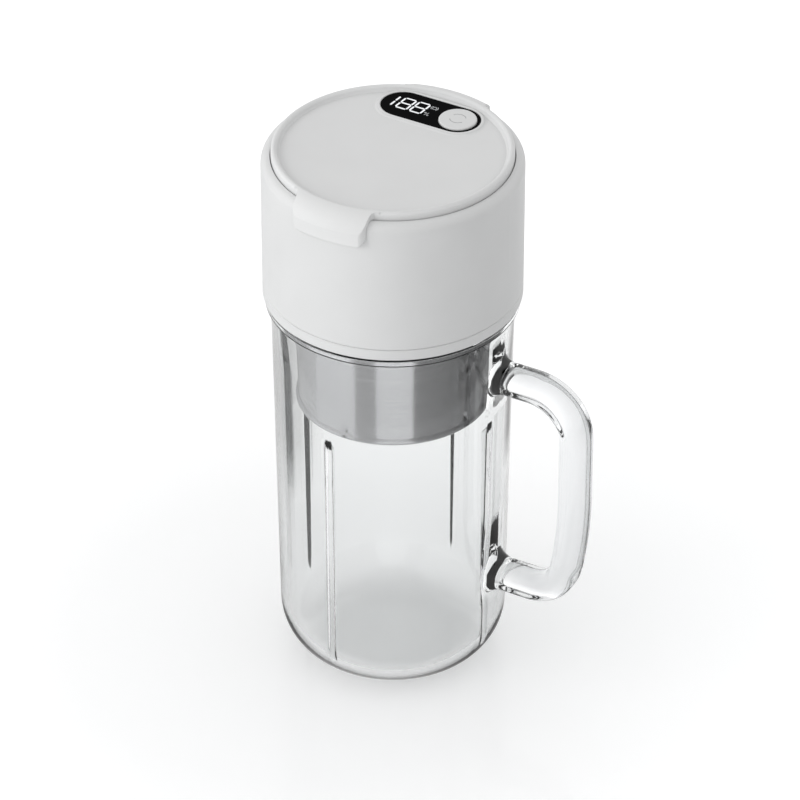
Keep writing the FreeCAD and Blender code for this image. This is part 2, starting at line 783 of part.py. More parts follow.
def make_top_cover():
    rim_top = disc_top + S.rim_rise
    crown = cover_radius - S.rim_crown
    crown_level = rim_top - S.rim_crown
    slope_foot = crown - S.rim_slope
    body = new_body("top_cover")
    block = pad_outline(body, "tab_block", tab_bottom, tab_outline(), rim_top - tab_bottom)
    repeat_round_axis(body, block, 2)
    outside = tab_radius + S.tab_corner
    above = rim_top + S.tab_corner
    turn(body, "tab_face", [
        (outside, tab_bottom),
        (outside, above),
        (crown, above),
        (crown, rim_top, -S.tab_top_round),
        (tab_radius, rim_top - S.tab_fall),
        (tab_radius, tab_bottom + S.tab_bottom_round, -S.tab_bottom_round),
        (tab_radius - S.tab_bottom_round, tab_bottom),
    ], cut=True)
    foot, side = S.tab_foot_corner, S.tab_half_width
    corners = new_sketch(body, "tab_foot_corners", "XZ_Plane", -outside)
    outline(corners, [(side - foot, tab_bottom), (side + foot, tab_bottom),
                      (side + foot, tab_bottom + foot), (side, tab_bottom + foot, -foot)])
    outline(corners, [(foot - side, tab_bottom, -foot), (-side, tab_bottom + foot),
                      (-side - foot, tab_bottom + foot), (-side - foot, tab_bottom)])
    pocket(body, corners, outside * 2, along_normal=True)
    gap = S.tab_gap
    turn(body, "shell_room", [
        (slope_foot - S.tab_corner, tab_bottom),
        (shell_radius + gap, tab_bottom),
        (shell_radius + gap, shell_top - shell_round, shell_round + gap),
        (shell_radius - shell_round, shell_top + gap),
        (slope_foot - S.tab_corner, shell_top + gap),
    ], cut=True)
    crown_share = 0.9
    turn(body, "cover_disc", [
        (0, cover_bottom),
        (cover_radius, cover_bottom),
        (cover_radius, crown_level, S.rim_crown),
        (crown, rim_top, S.rim_crown),
        (crown - S.rim_crown * crown_share, crown_level + S.rim_crown * (1 - crown_share) * 4,
         -S.rim_slope),
        (slope_foot, disc_top),
        (0, disc_top),
    ])
    border = S.pill_radius + S.pill_gap + S.pill_border
    pad_outline(body, "pill_border", disc_top - S.pill_border_rise,
                pill(S.pill_x, S.pill_y, S.pill_half_run, border), S.pill_border_rise * 2)
    seat = new_sketch(body, "window_seat", "XY_Plane", disc_top + S.pill_border_rise)
    outline(seat, pill(S.pill_x, S.pill_y, S.pill_half_run, S.pill_radius + S.pill_gap))
    pocket(body, seat, disc_top + S.pill_border_rise - window_seat)
    through = new_sketch(body, "window_through", "XY_Plane", window_seat)
    outline(through, pill(S.pill_x, S.pill_y, S.pill_half_run, S.pill_radius - S.pill_ledge))
    pocket(body, through, window_seat - cover_bottom)
    return keep(body, "top_cover")


# Display and button -------------------------------------------------------------------------

button_centre = [(button_x, S.pill_y)]


def make_display_window():
    body = new_body("display_window")
    pad_outline(body, "window_plate", window_seat,
                pill(S.pill_x, S.pill_y, S.pill_half_run, S.pill_radius), S.window_thickness)
    boss = S.pill_radius - S.pill_ledge - S.pill_gap
    left = S.pill_x - S.pill_half_run
    pad_outline(body, "window_boss", cover_bottom, [
        (left, S.pill_y - boss), (S.window_boss_end, S.pill_y - boss),
        (S.window_boss_end, S.pill_y + boss), (left, S.pill_y + boss, boss),
        (left - boss, S.pill_y, boss)], window_seat - cover_bottom)
    drill(body, "button_hole", window_top, button_centre, S.button_radius + S.button_gap,
          window_top - cover_bottom)
    return keep(body, "display_window")


def make_power_button():
    """A round cap on a flange that the cover holds down."""
    top = window_top + S.button_rise
    edge = S.button_edge_round
    body = doc.addObject("PartDesign::Body", "Body_power_button")
    turn(body, "button_profile", [
        (0, button_flange_bottom),
        (S.button_radius + S.button_flange, button_flange_bottom),
        (S.button_radius + S.button_flange, button_flange_top),
        (S.button_radius, button_flange_top),
        (S.button_radius, top - edge, edge),
        (S.button_radius - edge, top),
        (0, top),
    ])
    bind(body, "Placement.Base.x", button_x)
    bind(body, "Placement.Base.y", S.pill_y)
    return keep(body, "power_button")


def make_switch():
    """A surface switch whose plunger stands under the button's flange."""
    side = S.switch_side / 2
    well_floor = button_flange_bottom - S.switch_height - S.button_travel - S.seal_gap
    body = new_body("tact_switch")
    pad_outline(body, "switch_block", board_top, rectangle(
        button_x - side, button_x + side, S.pill_y - side, S.pill_y + side), S.switch_height)
    drill(body, "switch_well", board_top + S.switch_height, button_centre,
          S.plunger_radius + S.plunger_gap, board_top + S.switch_height - well_floor)
    keep(body, "tact_switch")
    plunger = doc.addObject("Part::Cylinder", "Cylinder_switch_plunger")
    bind(plunger, "Radius", S.plunger_radius)
    bind(plunger, "Height", S.switch_height)
    bind(plunger, "Placement.Base.x", button_x)
    bind(plunger, "Placement.Base.y", S.pill_y)
    bind(plunger, "Placement.Base.z", button_flange_bottom - S.switch_height)
    keep(plunger, "switch_plunger")


def make_display_module():
    left = button_x - S.button_radius - S.button_flange - S.plunger_gap - S.display_length
    box = plain_box("display_module", left, S.pill_y - S.display_width / 2, board_top,
                    S.display_length, S.display_width,
                    cover_bottom - board_top - S.seal_gap)
    return keep(box, "display_module")


def make_control_board():
    body = new_body("control_board")
    pad_circles(body, "board_disc", board_bottom, [(0, 0)], board_radius, S.board_thickness)
    drill(body, "board_holes", board_top, board_posts, S.screw_radius + S.plunger_gap,
          S.board_thickness)
    keep(body, "control_board")
    chips = new_body("board_chips")
    half = S.chip_width / 2
    for number, x in enumerate((-S.chip_width, S.chip_width)):
        pad_outline(chips, f"chip_{number}", board_top,
                    rectangle(x - half, x + half, -half, half), S.chip_height)
    keep(chips, "board_chips")


# Chassis, cells and screws ------------------------------------------------------------------

def make_chassis():
    hole = S.motor_radius - S.pod_wall - S.pod_hole_gap
    body = new_body("chassis")
    turn(body, "chassis_plate", [
        (hole, chassis_bottom), (chassis_radius, chassis_bottom),
        (chassis_radius, chassis_top), (hole, chassis_top)])
    turn(body, "motor_clamp", [
        (hole, endcap_top + S.clamp_gap), (S.motor_radius - 2 * S.motor_gap,
                                           endcap_top + S.clamp_gap),
        (S.motor_radius - 2 * S.motor_gap, chassis_bottom), (hole, chassis_bottom)])
    pod_clamp = deck_top + S.pod_flange_height + S.clamp_gap
    turn(body, "pod_clamp", [
        (S.motor_radius + S.motor_gap, pod_clamp),
        (pod_flange_radius - S.motor_gap, pod_clamp),
        (pod_flange_radius - S.motor_gap, chassis_bottom),
        (S.motor_radius + S.motor_gap, chassis_bottom)])
    half_spacing = cell_spacing / 2
    half_cradle = half_spacing + S.cell_radius - S.cell_clearance
    for number, side in enumerate((-1, 1)):
        middle = S.cradle_place * side
        pad_outline(body, f"cradle_{number}", chassis_top, rectangle(
            middle - S.cradle_width / 2, middle + S.cradle_width / 2,
            -half_cradle, half_cradle), S.cradle_height)
        inner = (S.cell_length / 2 + S.strap_thickness + S.cell_clearance) * side
        outer = inner + S.end_stop_width * side
        low, high = (inner, outer) if side > 0 else (outer, inner)
        pad_outline(body, f"end_stop_{number}", chassis_top,
                    rectangle(low, high, -S.end_stop_half, S.end_stop_half), S.cell_radius)
    bed = new_sketch(body, "cell_beds", "YZ_Plane", -S.cell_length / 2)
    circles(bed, [(-half_spacing, cell_level), (half_spacing, cell_level)],
            S.cell_radius + S.cell_clearance)
    pocket(body, bed, S.cell_length, along_normal=True)
    pad_circles(body, "board_posts", chassis_top, board_posts, S.board_post_radius,
                board_bottom - chassis_top)
    drill(body, "board_post_holes", board_bottom, board_posts, screw_hole,
          S.screw_bite + S.screw_gap)
    drill(body, "chassis_holes", chassis_top, deck_posts, S.screw_radius + S.plunger_gap,
          S.chassis_plate)
    return keep(body, "chassis")


def make_cells():
    half_spacing = cell_spacing / 2
    cells = new_body("battery_cells")
    ends = new_sketch(cells, "cell_ends", "YZ_Plane", -S.cell_length / 2)
    circles(ends, [(-half_spacing, cell_level), (half_spacing, cell_level)], S.cell_radius)
    pad(cells, ends, S.cell_length)
    keep(cells, "battery_cells")
    straps = new_body("cell_straps")
    low, high = cell_level - S.strap_height / 2, cell_level + S.strap_height / 2
    link = new_sketch(straps, "link_strap", "YZ_Plane", -S.cell_length / 2 - S.strap_thickness)
    link_half = half_spacing + S.strap_tab / 2
    outline(link, rectangle(-link_half, link_half, low, high))
    pad(straps, link, S.strap_thickness)
    tabs = new_sketch(straps, "end_tabs", "YZ_Plane", S.cell_length / 2)
    for middle in (-half_spacing, half_spacing):
        outline(tabs, rectangle(middle - S.strap_tab / 2, middle + S.strap_tab / 2, low, high))
    pad(straps, tabs, S.strap_thickness)
    keep(straps, "cell_straps")


def make_screws(label, centres, seat, shank, pointing_up=False):
    """Screws with their heads on a face at height seat, all alike, as one node."""
    body = new_body(label)
    head_foot = seat - S.screw_head_height if pointing_up else seat
    shank_foot = seat if pointing_up else seat - shank
    pad_circles(body, label + "_shanks", shank_foot, centres, S.screw_radius, shank)
    pad_circles(body, label + "_heads", head_foot, centres, S.screw_head_radius,
                S.screw_head_height)
    return keep(body, label)


# Motor, shaft and blades --------------------------------------------------------------------

def make_motor():
    inner = S.motor_radius + S.motor_gap
    boss_hole = S.journal_radius + S.motor_gap
    chamfer = S.neck_chamfer
    turned("motor_pod", [
        (S.bush_radius, nose_bottom),
        (S.nose_radius - chamfer, nose_bottom),
        (S.nose_radius, nose_bottom + chamfer),
        (S.nose_radius, nose_top - S.shell_round / 2),
        (pod_radius, motor_floor - S.neck_chamfer),
        (pod_radius, deck_top),
        (pod_flange_radius, deck_top),
        (pod_flange_radius, deck_top + S.pod_flange_height),
        (inner, deck_top + S.pod_flange_height),
        (inner, motor_floor),
        (boss_hole, motor_floor),
        (boss_hole, nose_top),
        (S.bush_radius, nose_top),
    ])
    bore = S.motor_shaft_radius + S.running_gap
    bore_top = motor_floor + S.motor_shaft_reach + S.motor_gap
    boss_bottom = motor_floor - S.motor_boss_length
    turned("motor_can", [
        (bore, boss_bottom),
        (S.motor_boss_radius, boss_bottom),
        (S.motor_boss_radius, motor_floor),
        (S.motor_radius - chamfer, motor_floor),
        (S.motor_radius, motor_floor + chamfer),
        (S.motor_radius, endcap_bottom),
        (0, endcap_bottom),
        (0, bore_top),
        (bore, bore_top),
    ])
    turned("motor_endcap", [
        (0, endcap_bottom),
        (S.motor_radius - S.motor_gap, endcap_bottom),
        (S.motor_radius - S.motor_gap, endcap_top - chamfer),
        (S.motor_radius - S.motor_gap - chamfer, endcap_top),
        (0, endcap_top),
    ])
    terminals = new_body("motor_terminals")
    for number, x in enumerate((-S.terminal_offset, S.terminal_offset)):
        pad_outline(terminals, f"terminal_{number}", endcap_top, rectangle(
            x - S.terminal_thickness / 2, x + S.terminal_thickness / 2,
            -S.terminal_width / 2, S.terminal_width / 2), S.terminal_height)
    keep(terminals, "motor_terminals")


def make_shaft_line():
    bush_bottom = nose_top - S.bush_length
    journal_bore = S.journal_radius + S.running_gap
    turned("shaft_bearing", [
        (journal_bore, bush_bottom), (S.bush_radius, bush_bottom),
        (S.bush_radius, nose_top), (journal_bore, nose_top)])
    seal_top = bush_bottom - S.seal_gap
    seal_bottom = seal_top - S.shaft_seal_length
    turned("shaft_seal", [
        (journal_bore, seal_bottom + S.neck_chamfer),
        (journal_bore + S.neck_chamfer, seal_bottom),
        (S.bush_radius, seal_bottom),
        (S.bush_radius, seal_top),
        (journal_bore, seal_top)])
    journal_top = nose_top + S.neck_chamfer
    stud_bottom = nut_top - S.nut_length
    turned("drive_shaft", [
        (0, stud_bottom),
        (S.stud_radius, stud_bottom),
        (S.stud_radius, hub_top),
        (S.journal_radius, hub_top),
        (S.journal_radius, journal_top),
        (S.motor_shaft_radius, journal_top),
        (S.motor_shaft_radius, motor_floor + S.motor_shaft_reach),
        (0, motor_floor + S.motor_shaft_reach),
    ])
    stud_hole = S.stud_radius + S.running_gap
    turned("blade_hub", [
        (stud_hole, hub_bottom), (S.hub_radius - S.neck_chamfer, hub_bottom),
        (S.hub_radius, hub_bottom + S.neck_chamfer), (S.hub_radius, hub_top),
        (stud_hole, hub_top)])


def make_blade(label, bottom, lift, stagger):
    """Two arms from a flat centre, bent up or down and tapered to blunt tips."""
    bend, tip, thickness = S.blade_bend_place, S.blade_reach, S.blade_thickness
    strip = new_body(label + "_strip")
    side = new_sketch(strip, label + "_side", "XZ_Plane")
    outline(side, [
        (-tip, bottom + lift), (-bend, bottom), (bend, bottom), (tip, bottom + lift),
        (tip, bottom + lift + thickness), (bend, bottom + thickness),
        (-bend, bottom + thickness), (-tip, bottom + lift + thickness)])
    pad(strip, side, 2 * S.blade_root_half_width, symmetric=True)
    plan = new_body(label + "_plan")
    shape = new_sketch(plan, label + "_shape", "XY_Plane", blade_stack[-1] - S.blade_reach)
    root_half, tip_half = S.blade_root_half_width, S.blade_tip_half_width
    outline(shape, [
        (-tip, -tip_half), (-bend, -root_half), (bend, -root_half), (tip, -tip_half / 2),
        (tip, tip_half), (bend, root_half), (-bend, root_half), (-tip, tip_half / 2)])
    circles(shape, [(0, 0)], S.stud_radius + S.running_gap)
    pad(plan, shape, 2 * S.blade_reach)
    blade = doc.addObject("Part::Common", "Common_" + label)
    blade.Base = strip
    blade.Tool = plan
    blade.Placement = Placement(Vector(0, 0, 0), Rotation(Vector(0, 0, 1), 0))
    bind(blade, "Placement.Rotation.Angle", stagger)
    return keep(blade, label)


def make_blade_nut():
    """A cap nut: a hexagon under the blades with a domed end."""
    flat = S.nut_radius * (math.sqrt(3) / 2)
    bottom = nut_top - S.nut_length
    body = new_body("blade_nut")
    pad_outline(body, "nut_hexagon", bottom, [
        (S.nut_radius, 0), (S.nut_radius / 2, flat), (-S.nut_radius / 2, flat),
        (-S.nut_radius, 0), (-S.nut_radius / 2, -flat), (S.nut_radius / 2, -flat)],
        S.nut_length)
    turn(body, "nut_dome", [
        (0, bottom - S.nut_dome),
        (flat / 2, bottom - S.nut_dome, flat),
        (flat, bottom),
        (0, bottom)])
    drill(body, "nut_thread", nut_top, [(0, 0)], S.stud_radius + S.running_gap,
          S.nut_length + S.seal_gap)
    return keep(body, "blade_nut")


def make_blade_chamber():
    outer, inner = chamber_radius, chamber_radius - S.chamber_wall
    lip = S.lip_radius
    lip_outer = inner + 2 * lip
    lip_level = chamber_bottom + lip
    lip_top = chamber_bottom + S.lip_height
    corner = S.chamber_corner
    inner_corner = corner - S.chamber_wall
    body = new_body("blade_chamber")
    turn(body, "chamber_profile", [
        (inner, lip_level, lip),
        (inner + lip, chamber_bottom, lip),
        (lip_outer, lip_level),
        (lip_outer, lip_top - (lip_outer - outer)),
        (outer, lip_top),
        (outer, deck_bottom - corner, corner),
        (outer - corner, deck_bottom),
        (pod_hole, deck_bottom),
        (pod_hole, roof_bottom),
        (inner - inner_corner, roof_bottom, -inner_corner),
        (inner, roof_bottom - inner_corner),
    ])
    drill(body, "roof_holes", deck_bottom, chamber_bosses, S.screw_radius + S.plunger_gap,
          S.chamber_wall)
    return keep(body, "blade_chamber")


# Charging port --------------------------------------------------------------------------------

def make_charging_port():
    board_front = socket_front - S.plug_gap
    board = plain_box("charge_board", -S.charge_board_half_width,
                      board_front - S.charge_board_length, chassis_top,
                      2 * S.charge_board_half_width, S.charge_board_length,
                      S.charge_board_thickness)
    keep(board, "charge_board")
    half_run = (S.socket_width - S.socket_height) / 2
    socket = new_body("charge_socket")
    outside = new_sketch(socket, "socket_outside", "XZ_Plane", -socket_front)
    outline(outside, pill(as_size(0), port_level, half_run, S.socket_height / 2))
    pad(socket, outside, S.socket_length)
    mouth = new_sketch(socket, "socket_mouth", "XZ_Plane",
                       S.socket_length - S.socket_back - socket_front)
    outline(mouth, pill(as_size(0), port_level, half_run,
                        S.socket_height / 2 - S.socket_wall))
    pocket(socket, mouth, S.socket_length)
    keep(socket, "charge_socket")
    tongue = plain_box("socket_tongue", -S.tongue_width / 2,
                       socket_front - S.socket_length + S.socket_back,
                       port_level - S.tongue_thickness / 2,
                       S.tongue_width, S.tongue_length, S.tongue_thickness)
    keep(tongue, "socket_tongue")


def make_port_plug():
    """A silicone plug: a pad that fills the recess and a stem that fills the slot."""
    seat = recess_floor + S.plug_seat_gap
    body = new_body("port_plug")
    cap = new_sketch(body, "plug_pad", "XZ_Plane", -(seat + S.recess_depth + S.port_gap))
    outline(cap, pill(as_size(0), port_level, S.recess_half_length - S.recess_radius,
                      S.recess_radius - S.plug_gap))
    pad(body, cap, S.recess_depth + S.port_gap)
    low, high = port_level - S.recess_radius, port_level + S.recess_radius
    flush = shell_radius - S.plug_seat_gap
    beyond = shell_radius + S.recess_depth
    turn(body, "plug_face", [(flush, low), (beyond, low), (beyond, high), (flush, high)],
         cut=True)
    stem = new_sketch(body, "plug_stem", "XZ_Plane", -seat)
    outline(stem, pill(as_size(0), port_level, (S.socket_width - S.socket_height) / 2,
                       S.socket_height / 2 + S.port_gap - S.plug_gap))
    pad(body, stem, S.plug_stem)
    return keep(body, "port_plug")


# Assembly ---------------------------------------------------------------------------------------

def make_seal_ring():
    inner = neck_radius - S.neck_wall + S.collar_gap
    outer = neck_radius - S.collar_gap
    bottom = neck_top + S.seal_gap
    return turned("seal_ring", [(inner, bottom), (outer, bottom),
                                (outer, bottom + S.seal_height),
                                (inner, bottom + S.seal_height)])


def build():
    make_mug_body()
    make_mug_handle()
    make_seal_ring()
    make_threaded_collar()
    make_outer_shell()
    make_top_cover()
    make_display_window()
    make_display_module()
    make_power_button()
    make_switch()
    make_control_board()
    make_chassis()
    make_cells()
    make_screws("board_screws", board_posts, board_top, S.board_thickness + S.screw_bite)
    make_screws("chassis_screws", deck_posts, chassis_top, S.chassis_plate + S.screw_bite)
    make_screws("chamber_screws", chamber_bosses, roof_bottom, S.chamber_wall + S.screw_bite,
                pointing_up=True)
    make_motor()
    make_shaft_line()
    make_blade("upper_blade", blade_stack[0], S.upper_blade_lift, as_size(0))
    make_blade("middle_blade", blade_stack[1], as_size(0), S.blade_angle_deg)
    make_blade("lower_blade", blade_stack[2], -S.lower_blade_drop, 2 * S.blade_angle_deg)
    make_blade_nut()
    make_blade_chamber()
    make_charging_port()
    make_port_plug()


def check_and_export():
    doc.recompute()
    for thing in doc.Objects:
        if "Invalid" in thing.State or "Error" in thing.State:
            raise RuntimeError(f"{thing.Name} failed: {thing.State}")
    for node in nodes:
        if node.Shape.isNull() or not node.Shape.isValid():
            raise RuntimeError(f"{node.Label} has no valid shape")
    os.makedirs("parts", exist_ok=True)
    for node in nodes:
        node.Shape.exportStep(f"parts/{node.Label}.step")
        print(f"{node.Label}: {len(node.Shape.Solids)} solid(s), {node.Shape.Volume:.1f} mm3")


build()
check_and_export()
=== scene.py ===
import math

import bmesh
import bpy
from mathutils import Matrix, Vector


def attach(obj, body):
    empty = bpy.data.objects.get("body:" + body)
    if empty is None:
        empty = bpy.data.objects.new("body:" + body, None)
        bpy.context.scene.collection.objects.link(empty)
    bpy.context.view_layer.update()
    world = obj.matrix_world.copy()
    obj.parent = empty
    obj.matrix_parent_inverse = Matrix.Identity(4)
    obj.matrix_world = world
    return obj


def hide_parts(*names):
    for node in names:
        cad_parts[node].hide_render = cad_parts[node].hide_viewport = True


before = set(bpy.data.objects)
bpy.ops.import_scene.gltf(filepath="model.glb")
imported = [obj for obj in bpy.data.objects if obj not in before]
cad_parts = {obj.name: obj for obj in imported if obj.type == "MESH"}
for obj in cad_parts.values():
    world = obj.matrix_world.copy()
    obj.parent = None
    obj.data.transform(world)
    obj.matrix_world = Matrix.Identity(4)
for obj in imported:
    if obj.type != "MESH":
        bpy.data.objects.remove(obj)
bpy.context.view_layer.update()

MM = 0.001
IMAGE = 800      # pixels along each side of the photograph
SENSOR = 36.0    # mm, the width of Blender's standard sensor


# Camera ------------------------------------------------------------------------------------

def make_camera():
    """The photograph's view: a long lens that looks down on the object from its front right."""
    focal_px, distance = 5000.0, 1.629
    azimuth, elevation, roll = (math.radians(a) for a in (29.3, 34.7, 0.03))
    target = Vector((0, 0, 0.10744))
    target_px = Vector((393.0, 372.4))
    back = Vector((math.sin(azimuth) * math.cos(elevation),
                   -math.cos(azimuth) * math.cos(elevation), math.sin(elevation)))
    look = (-back).to_track_quat("-Z", "Y").to_matrix() @ Matrix.Rotation(-roll, 3, "Z")
    off_x, off_y = IMAGE / 2 - target_px.x, target_px.y - IMAGE / 2
    aim = Vector((off_x, off_y, -focal_px)).normalized()
    turn = Vector((0, 0, -1)).rotation_difference(aim).to_matrix()
    data = bpy.data.cameras.new("camera")
    data.lens = SENSOR * focal_px / IMAGE
    data.clip_start, data.clip_end = 0.05, 20
    camera = bpy.data.objects.new("camera", data)
    camera.matrix_world = Matrix.Translation(target + back * distance) @ (look @ turn).to_4x4()
    bpy.context.scene.collection.objects.link(camera)
    bpy.context.scene.camera = camera


# Materials ---------------------------------------------------------------------------------

class Nodes:
    """Adds and links the shader nodes of one tree."""

    def __init__(self, tree):
        tree.nodes.clear()
        self.tree = tree

    def add(self, kind, settings=None, **inputs):
        """A node with its settings. An input is given by its name, or by number as i0, i1."""
        node = self.tree.nodes.new(kind)
        for name, value in (settings or {}).items():
            setattr(node, name, value)
        for name, value in inputs.items():
            numbered = name[0] == "i" and name[1:].isdigit()
            socket = node.inputs[int(name[1:]) if numbered else name.replace("_", " ")]
            if isinstance(value, bpy.types.NodeSocket):
                self.tree.links.new(value, socket)
            else:
                socket.default_value = value
        return node

    def maths(self, operation, a, b=0.0):
        return self.add("ShaderNodeMath", {"operation": operation}, i0=a, i1=b).outputs[0]

    def span(self, value, low, high, from_low=0.3, from_high=0.7):
        """A texture's value spread between low and high."""
        return self.add("ShaderNodeMapRange", i0=value, i1=from_low, i2=from_high,
                        i3=low, i4=high).outputs[0]

    def tint(self, value, dark, light):
        """A colour between dark, at a value of 0, and light, at 1."""
        ramp = self.add("ShaderNodeMix", {"data_type": "RGBA"}, i0=value)
        ramp.inputs[6].default_value = (*dark, 1)
        ramp.inputs[7].default_value = (*light, 1)
        return ramp.outputs[2]

    def noise(self, scale, detail=3.0, stretch=(1, 1, 1)):
        """Noise in the object's own space, so that it rides with the object."""
        where = self.add("ShaderNodeTexCoord").outputs["Object"]
        spread = self.add("ShaderNodeMapping", i0=where, Scale=stretch).outputs[0]
        return self.add("ShaderNodeTexNoise", Vector=spread, Scale=scale,
                        Detail=detail).outputs["Fac"]

    def bump(self, height, strength, depth, normal=None):
        node = self.add("ShaderNodeBump", Strength=strength, Distance=depth, Height=height)
        if normal is not None:
            self.tree.links.new(normal, node.inputs["Normal"])
        return node.outputs[0]

    def output(self, surface):
        self.add("ShaderNodeOutputMaterial", Surface=surface)


def new_material(name):
    """A material without nodes, and the helper that adds them."""
    material = bpy.data.materials.new(name)
    material.use_nodes = True
    return material, Nodes(material.node_tree)


def shaded(color, amount):
    """The colour times an amount."""
    return tuple(max(0.0, c * amount) for c in color)


def plastic(name, color, rough=0.42, grain=900.0, depth=0.02, soft_edge=0.3, specular=0.5,
            contrast=0.03, crease_shade=0.0):
    """Moulded plastic or rubber: fine grain, slightly uneven gloss and softened edges.

    A crease value above zero greys the narrow inner corners and seams with painted shade, where
    those corners would fall in shadow.
    """
    corner_width, gloss_swing = 2.5, 0.05
    material, n = new_material(name)
    broad = n.noise(55.0, 2.0)
    fine = n.noise(grain, 4.0)
    edge = n.add("ShaderNodeBevel", Radius=soft_edge * MM).outputs[0]
    tone = n.tint(n.span(broad, 0.0, 1.0), shaded(color, 1 - contrast), color)
    # Painted shade: ambient occlusion greys the base colour in narrow corners and seams.
    if crease_shade:
        open_sky = n.add("ShaderNodeAmbientOcclusion", {"samples": 8},
                         Distance=corner_width * MM).outputs["AO"]
        grey = n.tint(open_sky, (1 - crease_shade,) * 3, (1.0, 1.0, 1.0))
        tone = n.add("ShaderNodeMix", {"data_type": "RGBA", "blend_type": "MULTIPLY"}, i0=1.0,
                     i6=tone, i7=grey).outputs[2]
    shell = n.add(
        "ShaderNodeBsdfPrincipled",
        Base_Color=tone,
        Roughness=n.span(broad, rough - gloss_swing, rough + gloss_swing),
        Normal=n.bump(fine, 0.25, depth * MM, edge))
    shell.inputs["Specular IOR Level"].default_value = specular
    n.output(shell.outputs[0])
    return material


def metal(name, color, rough=0.3, streak=(1, 1, 60), scale=60.0, anisotropic=0.0, depth=0.01,
          soft_edge=0.15):
    """Metal with fine tool marks along one direction and small stains in its gloss."""
    material, n = new_material(name)
    marks = n.noise(scale, 5.0, streak)
    stains = n.noise(35.0, 3.0)
    stained = n.span(stains, -0.03, 0.03)
    marked = n.span(marks, rough - 0.05, rough + 0.05)
    edge = n.add("ShaderNodeBevel", Radius=soft_edge * MM).outputs[0]
    shell = n.add(
        "ShaderNodeBsdfPrincipled",
        Base_Color=n.tint(n.span(marks, 0.0, 1.0), shaded(color, 0.9), color),
        Roughness=n.maths("ADD", stained, marked),
        Normal=n.bump(marks, 0.2, depth * MM, edge))
    shell.inputs["Metallic"].default_value = 1.0
    if anisotropic:
        shell.inputs["Anisotropic"].default_value = anisotropic
        tangent = n.add("ShaderNodeTangent", {"direction_type": "RADIAL", "axis": "Z"})
        n.tree.links.new(tangent.outputs[0], shell.inputs["Tangent"])
    n.output(shell.outputs[0])
    return material


def clear_plastic(name):
    """Clear moulded plastic: faintly wavy, with fine haze, letting light through its shadow.

    The solid handle, out along +x, swallows more light than the thin walls do.
    """
    thin_until, thick_from = 43.0, 49.0
    thin_tint, thick_tint = (0.94, 0.947, 0.947), (0.87, 0.878, 0.885)
    material, n = new_material(name)
    waves = n.noise(45.0, 1.0)
    haze = n.noise(260.0, 3.0)
    where = n.add("ShaderNodeTexCoord").outputs["Object"]
    out = n.add("ShaderNodeSeparateXYZ", i0=where).outputs[0]
    thick = n.span(out, 0.0, 1.0, thin_until * MM, thick_from * MM)
    body = n.add("ShaderNodeBsdfPrincipled",
                 Base_Color=n.tint(thick, thin_tint, thick_tint),
                 Roughness=n.span(haze, 0.0, 0.03),
                 Normal=n.bump(waves, 0.12, 0.15 * MM))
    body.inputs["Transmission Weight"].default_value = 1.0
    body.inputs["IOR"].default_value = 1.5
    light = n.add("ShaderNodeBsdfTransparent", Color=(0.9, 0.91, 0.91, 1))
    shadow = n.add("ShaderNodeLightPath").outputs["Is Shadow Ray"]
    mix = n.add("ShaderNodeMixShader", i0=shadow, i1=body.outputs[0], i2=light.outputs[0])
    n.output(mix.outputs[0])
    return material


def display_black(name):
    """Polished black window with faint smears."""
    material, n = new_material(name)
    smears = n.noise(120.0, 4.0, (1, 3, 1))
    shell = n.add("ShaderNodeBsdfPrincipled",
                  Base_Color=n.tint(smears, (0.0015, 0.0015, 0.0018), (0.003, 0.003, 0.0035)),
                  Roughness=n.span(smears, 0.10, 0.18))
    shell.inputs["Specular IOR Level"].default_value = 0.01
    n.output(shell.outputs[0])
    return material


def lit_sign(name, level):
    """A lit digit: bright, a little uneven across each segment."""
    material, n = new_material(name)
    uneven = n.noise(900.0, 2.0)
    shell = n.add("ShaderNodeBsdfPrincipled", Base_Color=(0.02, 0.02, 0.02, 1),
                  Emission_Strength=n.span(uneven, level * 0.94, level * 1.03))
    shell.inputs["Emission Color"].default_value = (0.95, 0.97, 1.0, 1)
    shell.inputs["Roughness"].default_value = 0.3
    n.output(shell.outputs[0])
    return material


def circuit_board(name):
    """Green board: copper pours showing through the solder resist as broad cells."""
    material, n = new_material(name)
    where = n.add("ShaderNodeTexCoord").outputs["Object"]
    cells = n.add("ShaderNodeTexVoronoi", {"feature": "DISTANCE_TO_EDGE",
                                           "distance": "MANHATTAN"},
                  Vector=where, Scale=220.0).outputs["Distance"]
    lines = n.span(cells, 0.0, 1.0, 0.02, 0.08)
    shell = n.add("ShaderNodeBsdfPrincipled",
                  Base_Color=n.tint(lines, (0.008, 0.075, 0.03), (0.012, 0.12, 0.05)),
                  Roughness=n.span(lines, 0.25, 0.4),
                  Normal=n.bump(lines, 0.3, 0.03 * MM))
    n.output(shell.outputs[0])
    return material


def cell_sleeve(name):
    """Shrink sleeve on a cell: glossy, with faint wrinkles round the cell."""
    material, n = new_material(name)
    wrinkles = n.noise(60.0, 3.0, (6, 1, 1))
    shell = n.add("ShaderNodeBsdfPrincipled",
                  Base_Color=n.tint(wrinkles, (0.02, 0.12, 0.32), (0.03, 0.17, 0.42)),
                  Roughness=n.span(wrinkles, 0.2, 0.35),
                  Normal=n.bump(wrinkles, 0.3, 0.05 * MM))
    n.output(shell.outputs[0])
    return material


WHITE = (0.78, 0.785, 0.785)
STEEL = (0.56, 0.56, 0.57)

